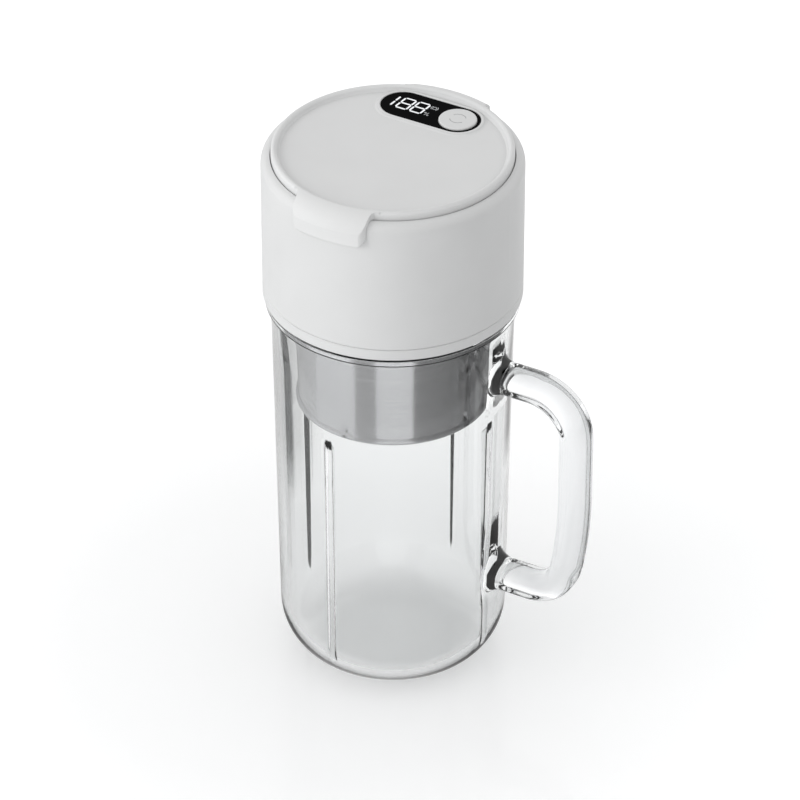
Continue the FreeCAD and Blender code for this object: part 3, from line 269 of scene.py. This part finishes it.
finish = {
    "white": plastic("white_satin", WHITE),
    # The cover greys its narrow corners and seams with painted shade.
    "cover": plastic("cover_satin", (0.82, 0.825, 0.825), rough=0.38, soft_edge=0.4,
                     crease_shade=0.35),
    "window": display_black("window_black"),
    "clear": clear_plastic("clear_plastic"),
    "steel": metal("spun_steel", STEEL, rough=0.14, streak=(0.15, 0.15, 40), scale=60.0,
                   anisotropic=0.6, depth=0.002),
    "blade": metal("ground_steel", (0.66, 0.66, 0.67), rough=0.2, streak=(30, 1, 1)),
    "screw": metal("screw_steel", (0.55, 0.55, 0.56), rough=0.3, streak=(1, 1, 1), scale=400.0),
    "can": metal("motor_can_steel", (0.48, 0.48, 0.49), rough=0.35, streak=(1, 1, 20)),
    "nickel": metal("nickel", (0.62, 0.60, 0.55), rough=0.28, streak=(1, 8, 1), scale=200.0),
    "brass": metal("brass", (0.72, 0.50, 0.20), rough=0.3, streak=(1, 1, 8), scale=200.0),
    "bronze": metal("sintered_bronze", (0.50, 0.32, 0.14), rough=0.45, streak=(1, 1, 1),
                    scale=900.0),
    "board": circuit_board("solder_resist"),
    "chip": plastic("chip_black", (0.02, 0.02, 0.022), rough=0.5),
    "sleeve": cell_sleeve("cell_sleeve"),
    "grey": plastic("grey_moulding", (0.42, 0.43, 0.44), rough=0.5),
    "pod": plastic("pod_moulding", (0.66, 0.67, 0.67), rough=0.48),
    "silicone": plastic("silicone", (0.66, 0.67, 0.67), rough=0.6, specular=0.35),
    "nitrile": plastic("nitrile", (0.02, 0.02, 0.02), rough=0.6, specular=0.35),
    "nylon": plastic("nylon", (0.60, 0.58, 0.52), rough=0.5),
    "button": plastic("button_satin", (0.81, 0.815, 0.815), rough=0.38),
    "digit": lit_sign("lit_digit", 0.94),
    "icon": lit_sign("dim_icon", 0.35),
    "mark": plastic("pad_print", (0.50, 0.51, 0.51), rough=0.45),
}

NODE_FINISH = {
    "seal_ring": "silicone", "threaded_collar": "white", "outer_shell": "white",
    "top_cover": "cover", "display_window": "window", "power_button": "button",
    "switch_plunger": "chip", "tact_switch": "chip", "display_module": "chip",
    "control_board": "board", "board_chips": "chip", "board_screws": "screw",
    "chassis": "grey", "battery_cells": "sleeve", "cell_straps": "nickel",
    "chassis_screws": "screw", "chamber_screws": "screw", "motor_pod": "pod",
    "motor_can": "can", "motor_endcap": "nylon", "motor_terminals": "brass",
    "drive_shaft": "blade", "shaft_bearing": "bronze", "shaft_seal": "nitrile",
    "blade_hub": "blade", "upper_blade": "blade", "middle_blade": "blade",
    "lower_blade": "blade", "blade_nut": "blade", "blade_chamber": "steel",
    "charge_board": "board", "charge_socket": "nickel", "socket_tongue": "chip",
    "port_plug": "silicone", "mug_body": "clear", "mug_handle": "clear",
}


def dress_nodes():
    """Give each CAD node its finish."""
    for node, finish_name in NODE_FINISH.items():
        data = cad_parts[node].data
        data.materials.clear()
        data.materials.append(finish[finish_name])


# Meshes ------------------------------------------------------------------------------------

def new_piece(name, mesh_builder, material, body, smooth_deg=35):
    """A mesh object from a bmesh function, smooth-shaded, riding on a body."""
    mesh = bpy.data.meshes.new(name)
    bm = bmesh.new()
    mesh_builder(bm)
    bmesh.ops.recalc_face_normals(bm, faces=bm.faces)
    for face in bm.faces:
        face.smooth = True
    for edge in bm.edges:
        if len(edge.link_faces) == 2 and edge.calc_face_angle() > math.radians(smooth_deg):
            edge.smooth = False
    bm.to_mesh(mesh)
    bm.free()
    mesh.materials.append(finish[material])
    piece = bpy.data.objects.new(name, mesh)
    bpy.context.scene.collection.objects.link(piece)
    if body:
        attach(piece, body)
    return piece


def filleted(corners, steps=6):
    """Points along a line of corners (x, y, fillet radius)."""
    points = []
    for index, (x, y, radius) in enumerate(corners):
        here = Vector((x, y))
        if radius == 0 or index in (0, len(corners) - 1):
            points.append(here)
            continue
        into = (Vector(corners[index - 1][:2]) - here).normalized()
        out = (Vector(corners[index + 1][:2]) - here).normalized()
        half = into.angle(out) / 2
        reach = radius / math.tan(half)
        centre = here + (into + out).normalized() * (radius / math.sin(half))
        first, last = here + into * reach - centre, here + out * reach - centre
        sweep = first.angle_signed(last)
        for step in range(steps + 1):
            turn = Matrix.Rotation(-sweep * step / steps, 2)
            points.append(centre + turn @ first)
    return points


def ring_faces(bm, rings):
    """Quads between successive closed rings of vertices."""
    for low, high in zip(rings, rings[1:]):
        count = len(low)
        for index in range(count):
            following = (index + 1) % count
            bm.faces.new((low[index], low[following], high[following], high[index]))


# Mug ---------------------------------------------------------------------------------------

# The clear mug, in millimetres and degrees: the form of the CAD's two nodes, with the edges
# set a little closer to the photograph's.

BEAD, BEAD_TOP, BEAD_RADIUS = 137.7, 139.7, 41.3
NECK_RADIUS, NECK_BORE, NECK_TOP = 36.4, 33.4, 155.0
NECK_MIDDLE = (NECK_RADIUS + NECK_BORE) / 2
BORE_FOOT, WALL_SHOULDER = 140.5, 136.6
WALL_TOP, WALL_BASE, BASE_ROUND = 39.45, 37.6, 18.6
WALL, FLOOR = 2.5, 3.0
RIB_FACE, RIB_TOP, RIB_BEVEL, RIB_RISE = 34.02, 102.0, 3.6, 2.4
RIB_HALF, RIB_SIDE = 1.2, 0.75
RIB_TURN = math.radians(-4.8)
FLOOR_RADII = (3.0, 8.0, 13.0)

THREAD_STARTS, THREAD_LEAD, THREAD_FOOT = 4, 20.0, 147.0
THREAD_HEIGHT, THREAD_WIDTH = 1.2, 2.2
COLLAR_BORE = 37.9


def wall_radius(z):
    """Outside radius of the tapered wall at a height."""
    return WALL_BASE + (WALL_TOP - WALL_BASE) * (z - BASE_ROUND) / (BEAD - BASE_ROUND)


def outer_profile():
    """Outside of the mug (radius, height), from the floor's middle up to the neck's rim."""
    low = [Vector((x, 0.0)) for x in FLOOR_RADII]
    low += [Vector((WALL_BASE - BASE_ROUND * (1 - math.sin(a)), BASE_ROUND * (1 - math.cos(a))))
            for a in (math.radians(d) for d in range(0, 90, 5))]
    wall = [Vector((wall_radius(z), z)) for z in (BASE_ROUND, 28, 45, 65, 85, 105, 125)]
    top = filleted([(wall_radius(BEAD - 3), BEAD - 3, 0), (WALL_TOP, BEAD, 0.5),
                    (BEAD_RADIUS, BEAD, 0.35), (BEAD_RADIUS, BEAD_TOP, 0.35),
                    (NECK_RADIUS, BEAD_TOP, 0.4), (NECK_RADIUS, NECK_TOP, 0.6),
                    (NECK_MIDDLE, NECK_TOP, 0)])
    return low + wall + top


def inner_profile():
    """Inside of the mug (radius, height), from the neck's rim down to the floor's middle.

    The levels lie closer together where the ribs' tops slope.
    """
    base = WALL_BASE - WALL
    rounding = BASE_ROUND - WALL
    top = filleted([(NECK_MIDDLE, NECK_TOP, 0), (NECK_BORE, NECK_TOP, 0.6),
                    (NECK_BORE, BORE_FOOT, 1.5), (WALL_TOP - WALL, WALL_SHOULDER, 2.0),
                    (wall_radius(120) - WALL, 120, 0)])
    levels = [110, 104, 103, 102.3, 101.4, 100.6, 99.6, 98.6, 97.6, 96, 90, 75, 60, 45, 32, 22]
    wall = [Vector((wall_radius(z) - WALL, z)) for z in levels]
    low = [Vector((base - rounding * (1 - math.sin(a)), FLOOR + rounding * (1 - math.cos(a))))
           for a in (math.radians(d) for d in range(90, -1, -5))]
    return top[1:] + wall + low + [Vector((x, FLOOR)) for x in reversed(FLOOR_RADII)]


def mug_angles():
    """Angles round the mug, closer together across each rib."""
    across = [0, 0.4, 0.7, 0.9, 1.05, 1.2, 1.35, 1.55, 2.4]
    near = sorted({side * x / RIB_FACE for x in across for side in (-1, 1)})
    free = math.pi / 2 - 2 * near[-1]
    steps = 30
    quarter = near + [near[-1] + free * k / steps for k in range(1, steps)]
    return [math.pi / 2 * turn + a + RIB_TURN for turn in range(4) for a in quarter]


def rib_share(angle):
    """How far a rib stands at an angle: 1 on its face, 0 on the wall beside it."""
    quarter = math.pi / 2
    off = abs((angle - RIB_TURN + quarter / 2) % quarter - quarter / 2) * RIB_FACE
    share = min(max((RIB_HALF + RIB_SIDE / 3 - off) / RIB_SIDE, 0.0), 1.0)
    return share * share * (3 - 2 * share)


def rib_radius(z):
    """Radius of a rib's face at a height: its top slopes out to the wall and ends there."""
    slope = max(0.0, z - (RIB_TOP - RIB_BEVEL)) / RIB_BEVEL
    return RIB_FACE + slope * RIB_RISE if z <= RIB_TOP + RIB_BEVEL / 3 else math.inf


def build_mug(bm):
    """The mug's wall as rings of vertices, first up its outside and then down its inside."""
    angles = mug_angles()
    outer, inner = outer_profile(), inner_profile()
    rings = []
    for point in outer:
        rings.append([bm.verts.new((point.x * MM * math.cos(a), point.x * MM * math.sin(a),
                                    point.y * MM)) for a in angles])
    for point in inner:
        ring = []
        face = min(point.x, rib_radius(point.y))
        for a in angles:
            radius = point.x + (face - point.x) * rib_share(a)
            ring.append(bm.verts.new((radius * MM * math.cos(a), radius * MM * math.sin(a),
                                      point.y * MM)))
        rings.append(ring)
    ring_faces(bm, rings)
    for ring, level in ((rings[0], 0.0), (rings[-1], FLOOR)):
        middle = bm.verts.new((0, 0, level * MM))
        for index, vertex in enumerate(ring):
            bm.faces.new((vertex, ring[(index + 1) % len(ring)], middle))


def handle_centreline():
    """Stations (x, z, angle of travel) from the top foot round to the bottom one.

    They follow a level leg, a bend, a straight grip, a grip bowed inwards, a bend and a leg.
    """
    reach, top, bottom = 67.4, 119.4, 41.1
    upper, lower, bow, bow_level = 15.6, 12.5, 151.0, 80.0
    sink, flare = 1.2, [0, 0.8, 1.6, 2.4, 3.2, 4.2, 5.4, 7.0]
    bend_steps, bow_steps, right = 14, 8, math.pi / 2
    start, finish = wall_radius(top) - sink, wall_radius(bottom) - sink
    run_end, grip_top = reach - upper, top - upper
    bow_turn = math.asin((bow_level - lower - bottom) / (bow - lower))

    stations = [(start + d, top, 0.0) for d in flare]
    stations += [(start + flare[-1] + (run_end - start - flare[-1]) * k / 3, top, 0.0)
                 for k in (1, 2)]
    for k in range(bend_steps + 1):
        a = right * (1 - k / bend_steps)
        stations.append((run_end + upper * math.cos(a), grip_top + upper * math.sin(a),
                         a - right))
    stations += [(reach, grip_top + (bow_level - grip_top) * k / 3, -right) for k in (1, 2, 3)]
    for k in range(1, bow_steps + 1):
        a = -bow_turn * k / bow_steps
        stations.append((reach - bow + bow * math.cos(a), bow_level + bow * math.sin(a),
                         -right + a))
    outward = Vector((math.cos(bow_turn), -math.sin(bow_turn)))
    end = Vector((reach - bow, bow_level)) + outward * bow
    centre = end - outward * lower
    for k in range(1, bend_steps + 1):
        a = -bow_turn - (right - bow_turn) * k / bend_steps
        stations.append((centre.x + lower * math.cos(a), centre.y + lower * math.sin(a),
                         -right + a))
    stations.append((centre.x + (finish + flare[-1] - centre.x) / 2, bottom, -math.pi))
    stations += [(finish + d, bottom, -math.pi) for d in reversed(flare)]
    return stations


def foot_growth(x):
    """Growth of the section (half width, half height) towards the wall."""
    foot_length, wider, taller = 6.2, 1.2, 3.7
    near = max(0.0, 1 - (x - WALL_BASE) / foot_length)
    return wider * near ** 2, taller * near ** 2.6


def build_handle(bm):
    """The handle's rounded section, half_y by half_n, set square to each station."""
    half_y, half_n, corner, corner_steps = 5.5, 4.8, 3.7, 8
    rings = []
    for x, z, travel in handle_centreline():
        normal = Vector((-math.sin(travel), 0, math.cos(travel)))
        grow_y, grow_n = foot_growth(x)
        a, b = half_y + grow_y, half_n + grow_n
        round_off = corner + 0.35 * (grow_y + grow_n)
        ring = []
        for quadrant in range(4):
            sign_y = (1, -1, -1, 1)[quadrant]
            sign_n = (1, 1, -1, -1)[quadrant]
            for step in range(corner_steps + 1):
                turn = math.radians(90 * quadrant + 90 * step / corner_steps)
                y = sign_y * (a - round_off) + round_off * math.cos(turn)
                n = sign_n * (b - round_off) + round_off * math.sin(turn)
                place = Vector((x, y, z)) + normal * n
                ring.append(bm.verts.new(place * MM))
        rings.append(ring)
    ring_faces(bm, rings)
    bm.faces.new(rings[0])
    bm.faces.new(rings[-1])


def helix(bm, radius, start_deg, sweep_deg, inward=False):
    """One run of thread on a radius, standing out or in, with tapered ends."""
    steps, taper, root, least = 28, 5, 0.4, 0.05
    out = -1 if inward else 1
    rings = []
    for step in range(steps + 1):
        share = step / steps
        a = math.radians(start_deg + sweep_deg * share)
        z = THREAD_FOOT + THREAD_LEAD * sweep_deg * share / 360
        fade = min(1.0, share * taper, (1 - share) * taper) ** 0.5
        tall = max(least, THREAD_HEIGHT * fade)
        section = [(-root * out, -THREAD_WIDTH / 2), (tall * out, -THREAD_WIDTH / 5),
                   (tall * out, THREAD_WIDTH / 5), (-root * out, THREAD_WIDTH / 2)]
        rings.append([bm.verts.new(((radius + r) * MM * math.cos(a),
                                    (radius + r) * MM * math.sin(a), (z + dz) * MM))
                      for r, dz in section])
    ring_faces(bm, rings)
    bm.faces.new(rings[0])
    bm.faces.new(rings[-1])


def thread_runs(bm, radius, start_deg, sweep_deg, inward=False):
    """The thread's runs, evenly round a radius."""
    for start in range(THREAD_STARTS):
        helix(bm, radius, start_deg + 360 / THREAD_STARTS * start, sweep_deg, inward)


def join(piece, other):
    """Make one closed body of two overlapping ones, then drop the second object."""
    modifier = piece.modifiers.new("join", "BOOLEAN")
    modifier.operation = "UNION"
    modifier.solver = "EXACT"
    modifier.object = other
    graph = bpy.context.evaluated_depsgraph_get()
    mesh = bpy.data.meshes.new_from_object(piece.evaluated_get(graph))
    piece.modifiers.clear()
    old = piece.data
    piece.data = mesh
    bpy.data.meshes.remove(old)
    bpy.data.objects.remove(other)


def make_mug():
    """The mug, its handle and its thread in one piece, so that light crosses no inner wall."""
    mug = new_piece("mug", build_mug, "clear", None, 60)
    handle = new_piece("handle_blank", build_handle, "clear", None, 60)
    join(mug, handle)
    ridges = new_piece("thread_blank", lambda bm: thread_runs(bm, NECK_RADIUS, 10, 70), "clear",
                       None, 60)
    join(mug, ridges)
    for polygon in mug.data.polygons:
        polygon.use_smooth = True
    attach(mug, "mug")
    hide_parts("mug_body", "mug_handle")


def make_collar_threads():
    """The matching thread inside the collar."""
    new_piece("collar_threads", lambda bm: thread_runs(bm, COLLAR_BORE, 50, 62, inward=True),
              "white", "head", 30)


# Display and button ------------------------------------------------------------------------

# In millimetres. Signs lie just on the glass, or on the button's face.

GLASS_TOP, BUTTON_TOP, SIGN = 192.65, 193.23, 0.03
DISPLAY_X, DISPLAY_Y, BUTTON_X = -0.8, 26.1, 9.1
DIGIT_FOOT, DIGIT_WIDTH, DIGIT_HEIGHT, DIGIT_LEAN = 23.6, 3.9, 6.2, 0.6
DIGIT_BAR, PERCENT_BAR = 0.62, 0.22
FULL_CIRCLE = (0, 360)

SEGMENTS = {
    "top": ((0, 1), (1, 1)), "middle": ((0, 0.5), (1, 0.5)), "bottom": ((0, 0), (1, 0)),
    "upper_left": ((0, 0.5), (0, 1)), "upper_right": ((1, 0.5), (1, 1)),
    "lower_left": ((0, 0), (0, 0.5)), "lower_right": ((1, 0), (1, 0.5)),
}


def bar(bm, start, end, width):
    """A flat lit bar with pointed ends."""
    start, end = Vector(start), Vector(end)
    along = (end - start).normalized()
    side = Vector((-along.y, along.x)) * width / 2
    tip = along * width * 0.5
    outline = [start, start + tip + side, end - tip + side, end, end - tip - side,
               start + tip - side]
    low = [bm.verts.new((p.x * MM, p.y * MM, GLASS_TOP * MM)) for p in outline]
    high = [bm.verts.new((p.x * MM, p.y * MM, (GLASS_TOP + SIGN) * MM)) for p in outline]
    ring_faces(bm, [low, high])
    bm.faces.new(high)
    bm.faces.new(low)


def digit(bm, x, width, lit):
    """A seven-segment digit from x to the right, with some of its segments lit."""
    gap = 0.12

    def at(u, v):
        return (x + u * width + DIGIT_LEAN * (v - 0.5), DIGIT_FOOT + v * DIGIT_HEIGHT)

    for name in lit:
        start, end = (Vector(at(u, v)) for u, v in SEGMENTS[name])
        along = (end - start).normalized() * gap
        bar(bm, start + along, end - along, DIGIT_BAR)


def flat_ring(bm, x, y, inner, outer, level, spans):
    """Arcs of a flat ring, each from one angle to another in degrees."""
    for first, last in spans:
        steps = max(4, int(abs(last - first) / 8))
        rings = []
        for step in range(steps + 1):
            a = math.radians(first + (last - first) * step / steps)
            rings.append([bm.verts.new(((x + r * math.cos(a)) * MM, (y + r * math.sin(a)) * MM,
                                        z * MM))
                          for r, z in ((inner, level), (outer, level), (outer, level + SIGN),
                                       (inner, level + SIGN))])
        ring_faces(bm, rings)
        if (first, last) != FULL_CIRCLE:
            bm.faces.new(rings[0])
            bm.faces.new(rings[-1])


def make_display():
    """The read-out's digits and small signs, and the mark on the button."""
    def digits(bm):
        digit(bm, -14.0, 0.1, ("upper_left", "lower_left"))
        digit(bm, -12.1, DIGIT_WIDTH, SEGMENTS)
        digit(bm, -7.0, DIGIT_WIDTH, SEGMENTS)

    def icons(bm):
        ringed_x, ringed_y = -0.75, 28.7
        flat_ring(bm, ringed_x, ringed_y, 0.55, 0.8, GLASS_TOP, [FULL_CIRCLE])
        flat_ring(bm, ringed_x, ringed_y, 1.05, 1.3, GLASS_TOP, [(-50, 50), (130, 230)])
        bar(bm, (-2.0, DIGIT_FOOT), (-0.9, 25.3), PERCENT_BAR)
        for x, y in ((-2.05, 25.0), (-0.85, 23.9)):
            flat_ring(bm, x, y, 0.12, 0.36, GLASS_TOP, [FULL_CIRCLE])

    def mark(bm):
        flat_ring(bm, BUTTON_X, DISPLAY_Y, 2.45, 2.75, BUTTON_TOP, [(-150, -30), (30, 150)])

    new_piece("display_digits", digits, "digit", "head")
    new_piece("display_icons", icons, "icon", "head")
    new_piece("button_mark", mark, "mark", "button")


def pill_path(half_run, radius, steps=20):
    """The outline of a slot with round ends round the display's middle."""
    points = []
    for side, first in ((1, -90), (-1, 90)):
        for step in range(steps + 1):
            a = math.radians(first + 180 * step / steps)
            points.append(Vector((DISPLAY_X + side * half_run + radius * math.cos(a),
                                  DISPLAY_Y + radius * math.sin(a))))
    return points


def make_bezel():
    """The soft raised lip round the display's opening, a low mound (radius, height)."""
    half_run = 9.9
    section = [(7.52, 192.4), (7.52, 192.68), (7.62, 192.82), (7.85, 192.9), (8.15, 192.88),
               (8.5, 192.76), (8.85, 192.58), (9.2, 192.45), (9.5, 192.38)]

    def lip(bm):
        rings = []
        for radius, z in section:
            rings.append([bm.verts.new((p.x * MM, p.y * MM, z * MM))
                          for p in pill_path(half_run, radius)])
        ring_faces(bm, rings)

    new_piece("display_bezel", lip, "cover", "head", 60)


# Studio ------------------------------------------------------------------------------------

# Cards stand round the object, as round a photographer's table. They give the clear plastic
# its dark edges and the steel its bands, and only rays that met the object show them.

def see_white(n):
    """1 for camera, glossy and transmission rays."""
    path = n.add("ShaderNodeLightPath").outputs
    seen = n.maths("MAXIMUM", path["Is Camera Ray"], path["Is Glossy Ray"])
    return n.maths("MAXIMUM", seen, path["Is Transmission Ray"])


def ray_kind(n, seen_by):
    """1 for the rays that show a card.

    They come off the steel, straight through the mug, by way of its wall, or off its front.
    """
    path = n.add("ShaderNodeLightPath").outputs
    walls, mirrored = path["Transmission Depth"], path["Glossy Depth"]
    if seen_by == "straight":
        return n.maths("MULTIPLY", n.maths("GREATER_THAN", walls, 0.5),
                       n.maths("LESS_THAN", mirrored, 0.5))
    turned = n.maths("GREATER_THAN", mirrored, 0.5)
    if seen_by == "front":
        return n.maths("MULTIPLY", turned, n.maths("LESS_THAN", walls, 0.5))
    if seen_by == "wall":
        within = n.maths("MULTIPLY", n.maths("GREATER_THAN", walls, 0.5),
                         n.maths("LESS_THAN", walls, 2.5))
        return n.maths("MULTIPLY", turned, within)
    return n.maths("MULTIPLY", turned, n.maths("GREATER_THAN", walls, 2.5))


def make_floor():
    """A pale floor that turns white away from the object: its own glow is weaker near the
    object, a painted pool of shade round it.
    """
    pool_middle, near, far = (-0.025, -0.014, 0), 0.08, 0.41
    glow_near, glow_far, drop = 0.27, 0.58, 0.0002
    mesh = bpy.data.meshes.new("floor")
    bm = bmesh.new()
    bmesh.ops.create_circle(bm, cap_ends=True, segments=96, radius=6.0)
    bm.to_mesh(mesh)
    bm.free()
    floor = bpy.data.objects.new("floor", mesh)
    floor.location.z = -drop
    bpy.context.scene.collection.objects.link(floor)
    material, n = new_material("floor_pale")
    where = n.add("ShaderNodeTexCoord").outputs["Object"]
    away = n.add("ShaderNodeVectorMath", {"operation": "DISTANCE"}, i0=where,
                 i1=pool_middle).outputs["Value"]
    # Painted shade: less glow near the object darkens the floor round it.
    lift = n.span(away, glow_near, glow_far, near, far)
    base = n.add("ShaderNodeBsdfPrincipled", Base_Color=(0.88, 0.885, 0.89, 1))
    base.inputs["Roughness"].default_value = 0.12
    base.inputs["Specular IOR Level"].default_value = 0.35
    glow = n.add("ShaderNodeEmission", Color=(1, 1, 1, 1),
                 Strength=n.maths("MULTIPLY", see_white(n), lift))
    plain = n.add("ShaderNodeAddShader", i0=base.outputs[0], i1=glow.outputs[0])
    n.output(n.add("ShaderNodeMixShader", i0=ray_kind(n, "front"), i1=plain.outputs[0],
                   i2=room_bands(n, where)).outputs[0])
    mesh.materials.append(material)


def room_bands(n, where):
    """What a mirror sees of the floor: two darker and two paler sectors, as of a room."""
    darkest, palest, palest_at, sectors = 0.36, 1.0, 1.85, 2.0
    spot = n.add("ShaderNodeSeparateXYZ", i0=where).outputs
    turn = n.maths("SUBTRACT", n.maths("ARCTAN2", spot[1], spot[0]), palest_at)
    wave = n.maths("COSINE", n.maths("MULTIPLY", turn, sectors))
    return n.add("ShaderNodeEmission", Color=(1, 1, 1, 1),
                 Strength=n.span(wave, darkest, palest, -0.8, 0.9)).outputs[0]


def make_world():
    """An even white sky: it lights the object at the ambient level and is seen as white."""
    ambient = 0.69
    world = bpy.data.worlds.new("studio")
    world.use_nodes = True
    n = Nodes(world.node_tree)
    level = n.maths("ADD", ambient, n.maths("MULTIPLY", see_white(n), 1 - ambient))
    sky = n.add("ShaderNodeBackground", Color=(1, 1, 1, 1), Strength=level)
    n.add("ShaderNodeOutputWorld", Surface=sky.outputs[0])
    world.cycles.sampling_method = "NONE"
    bpy.context.scene.world = world


def show_card(name, bm, seen_by, levels, fade=0.0):
    """Put a card's mesh into the studio, toned along its u and faded in up to v = fade."""
    mesh = bpy.data.meshes.new(name)
    bm.to_mesh(mesh)
    bm.free()
    screen = bpy.data.objects.new(name, mesh)
    bpy.context.scene.collection.objects.link(screen)
    material, n = new_material(name)
    front = n.maths("SUBTRACT", 1.0, n.add("ShaderNodeNewGeometry").outputs["Backfacing"])
    place = n.add("ShaderNodeSeparateXYZ", i0=n.add("ShaderNodeUVMap").outputs[0])
    tones = n.add("ShaderNodeValToRGB", i0=place.outputs[0])
    ramp = tones.color_ramp
    for index, level in enumerate(levels):
        along = index / (len(levels) - 1)
        stop = ramp.elements[-1 if along == 1 else 0] if along in (0, 1) \
            else ramp.elements.new(along)
        stop.color = (level, level, level, 1)
    shown = n.maths("MULTIPLY", ray_kind(n, seen_by), front)
    if fade:
        shown = n.maths("MULTIPLY", shown, n.span(place.outputs[1], 0.0, 1.0, 0.0, fade))
    lit = n.add("ShaderNodeEmission", Color=tones.outputs[0])
    unseen = n.add("ShaderNodeBsdfTransparent")
    n.output(n.add("ShaderNodeMixShader", i0=shown, i1=unseen.outputs[0],
                   i2=lit.outputs[0]).outputs[0])
    mesh.materials.append(material)
    screen.visible_shadow = False


def card(name, seen_by, radius, degrees, heights, levels, fade=0.0):
    """A curved card round the object, seen from its inner side by one kind of ray.

    Its radius and heights are in millimetres and its angles run anticlockwise from the front.
    Its tone runs evenly through the levels from the first angle to the last one. It may fade
    away over its lowest part.
    """
    bm = bmesh.new()
    layer = bm.loops.layers.uv.new("along")
    steps = 24
    columns = []
    for step in range(steps + 1):
        a = math.radians(degrees[0] + (degrees[1] - degrees[0]) * step / steps)
        columns.append([bm.verts.new((radius * MM * math.sin(a), -radius * MM * math.cos(a),
                                      z * MM)) for z in heights])
    for step in range(steps):
        left, right = columns[step], columns[step + 1]
        face = bm.faces.new((left[0], left[1], right[1], right[0]))
        for loop, u, v in zip(face.loops, (step, step, step + 1, step + 1), (0, 1, 1, 0)):
            loop[layer].uv = (u / steps, v)
    show_card(name, bm, seen_by, levels, fade)


def low_card(name, seen_by, corners, height, level):
    """A flat card lying low beside the object, in millimetres, seen by one kind of ray."""
    bm = bmesh.new()
    face = bm.faces.new([bm.verts.new((x * MM, y * MM, height * MM)) for x, y in corners])
    face.normal_update()
    if face.normal.z < 0:
        face.normal_flip()
    show_card(name, bm, seen_by, (level, level))


def softbox(name, azimuth, elevation, distance, width, height, power):
    """A soft lamp that faces the object's middle, in degrees, metres and watts."""
    object_middle = Vector((0, 0, 0.1))
    data = bpy.data.lights.new(name, "AREA")
    data.shape = "RECTANGLE"
    data.size, data.size_y = width, height
    data.energy = power
    lamp = bpy.data.objects.new(name, data)
    a, e = math.radians(azimuth), math.radians(elevation)
    away = Vector((math.sin(a) * math.cos(e), -math.cos(a) * math.cos(e), math.sin(e)))
    lamp.location = object_middle + away * distance
    lamp.rotation_euler = (-away).to_track_quat("-Z", "Y").to_euler()
    lamp.visible_glossy = False
    lamp.visible_transmission = False
    bpy.context.scene.collection.objects.link(lamp)


TALL, LOW = (2, 400), (0, 160)

make_camera()
dress_nodes()
make_mug()
make_collar_threads()
make_display()
make_bezel()
make_floor()
make_world()
softbox("key", -38, 14, 1.3, 0.9, 1.1, 8.3)
card("steel_right", "steel", 115, (50, 185), TALL, (0.30, 0.22, 0.12, 0.06, 0.08))
card("steel_front", "steel", 115, (-10, 12), TALL, (0.55, 0.55))
card("steel_left", "steel", 116, (240, 300), TALL, (0.45, 0.75, 0.95))
card("behind_left_pale", "straight", 90, (228, 241.3), LOW, (1.0, 0.85, 0.72, 0.62), fade=0.15)
card("behind_left", "straight", 90, (241.3, 251), LOW, (0.05, 0.04, 0.04, 0.4), fade=0.15)
card("wall_left", "wall", 90, (240, 290), LOW,
     (0.8, 0.75, 0.72, 0.7, 0.7, 0.7, 0.7, 0.7, 0.6, 0.15, 0.04, 0.04, 0.04), fade=0.3)
card("wall_right", "wall", 115, (156, 184), LOW,
     (0.72, 0.65, 0.4, 0.1, 0.04, 0.06, 0.3, 0.9), fade=0.1)
low_card("front_left", "front", ((-82, -20), (-180, 0), (-179, -39), (-79, -36)), 30, 0.05)
bpy.context.scene.view_settings.view_transform = "Standard"
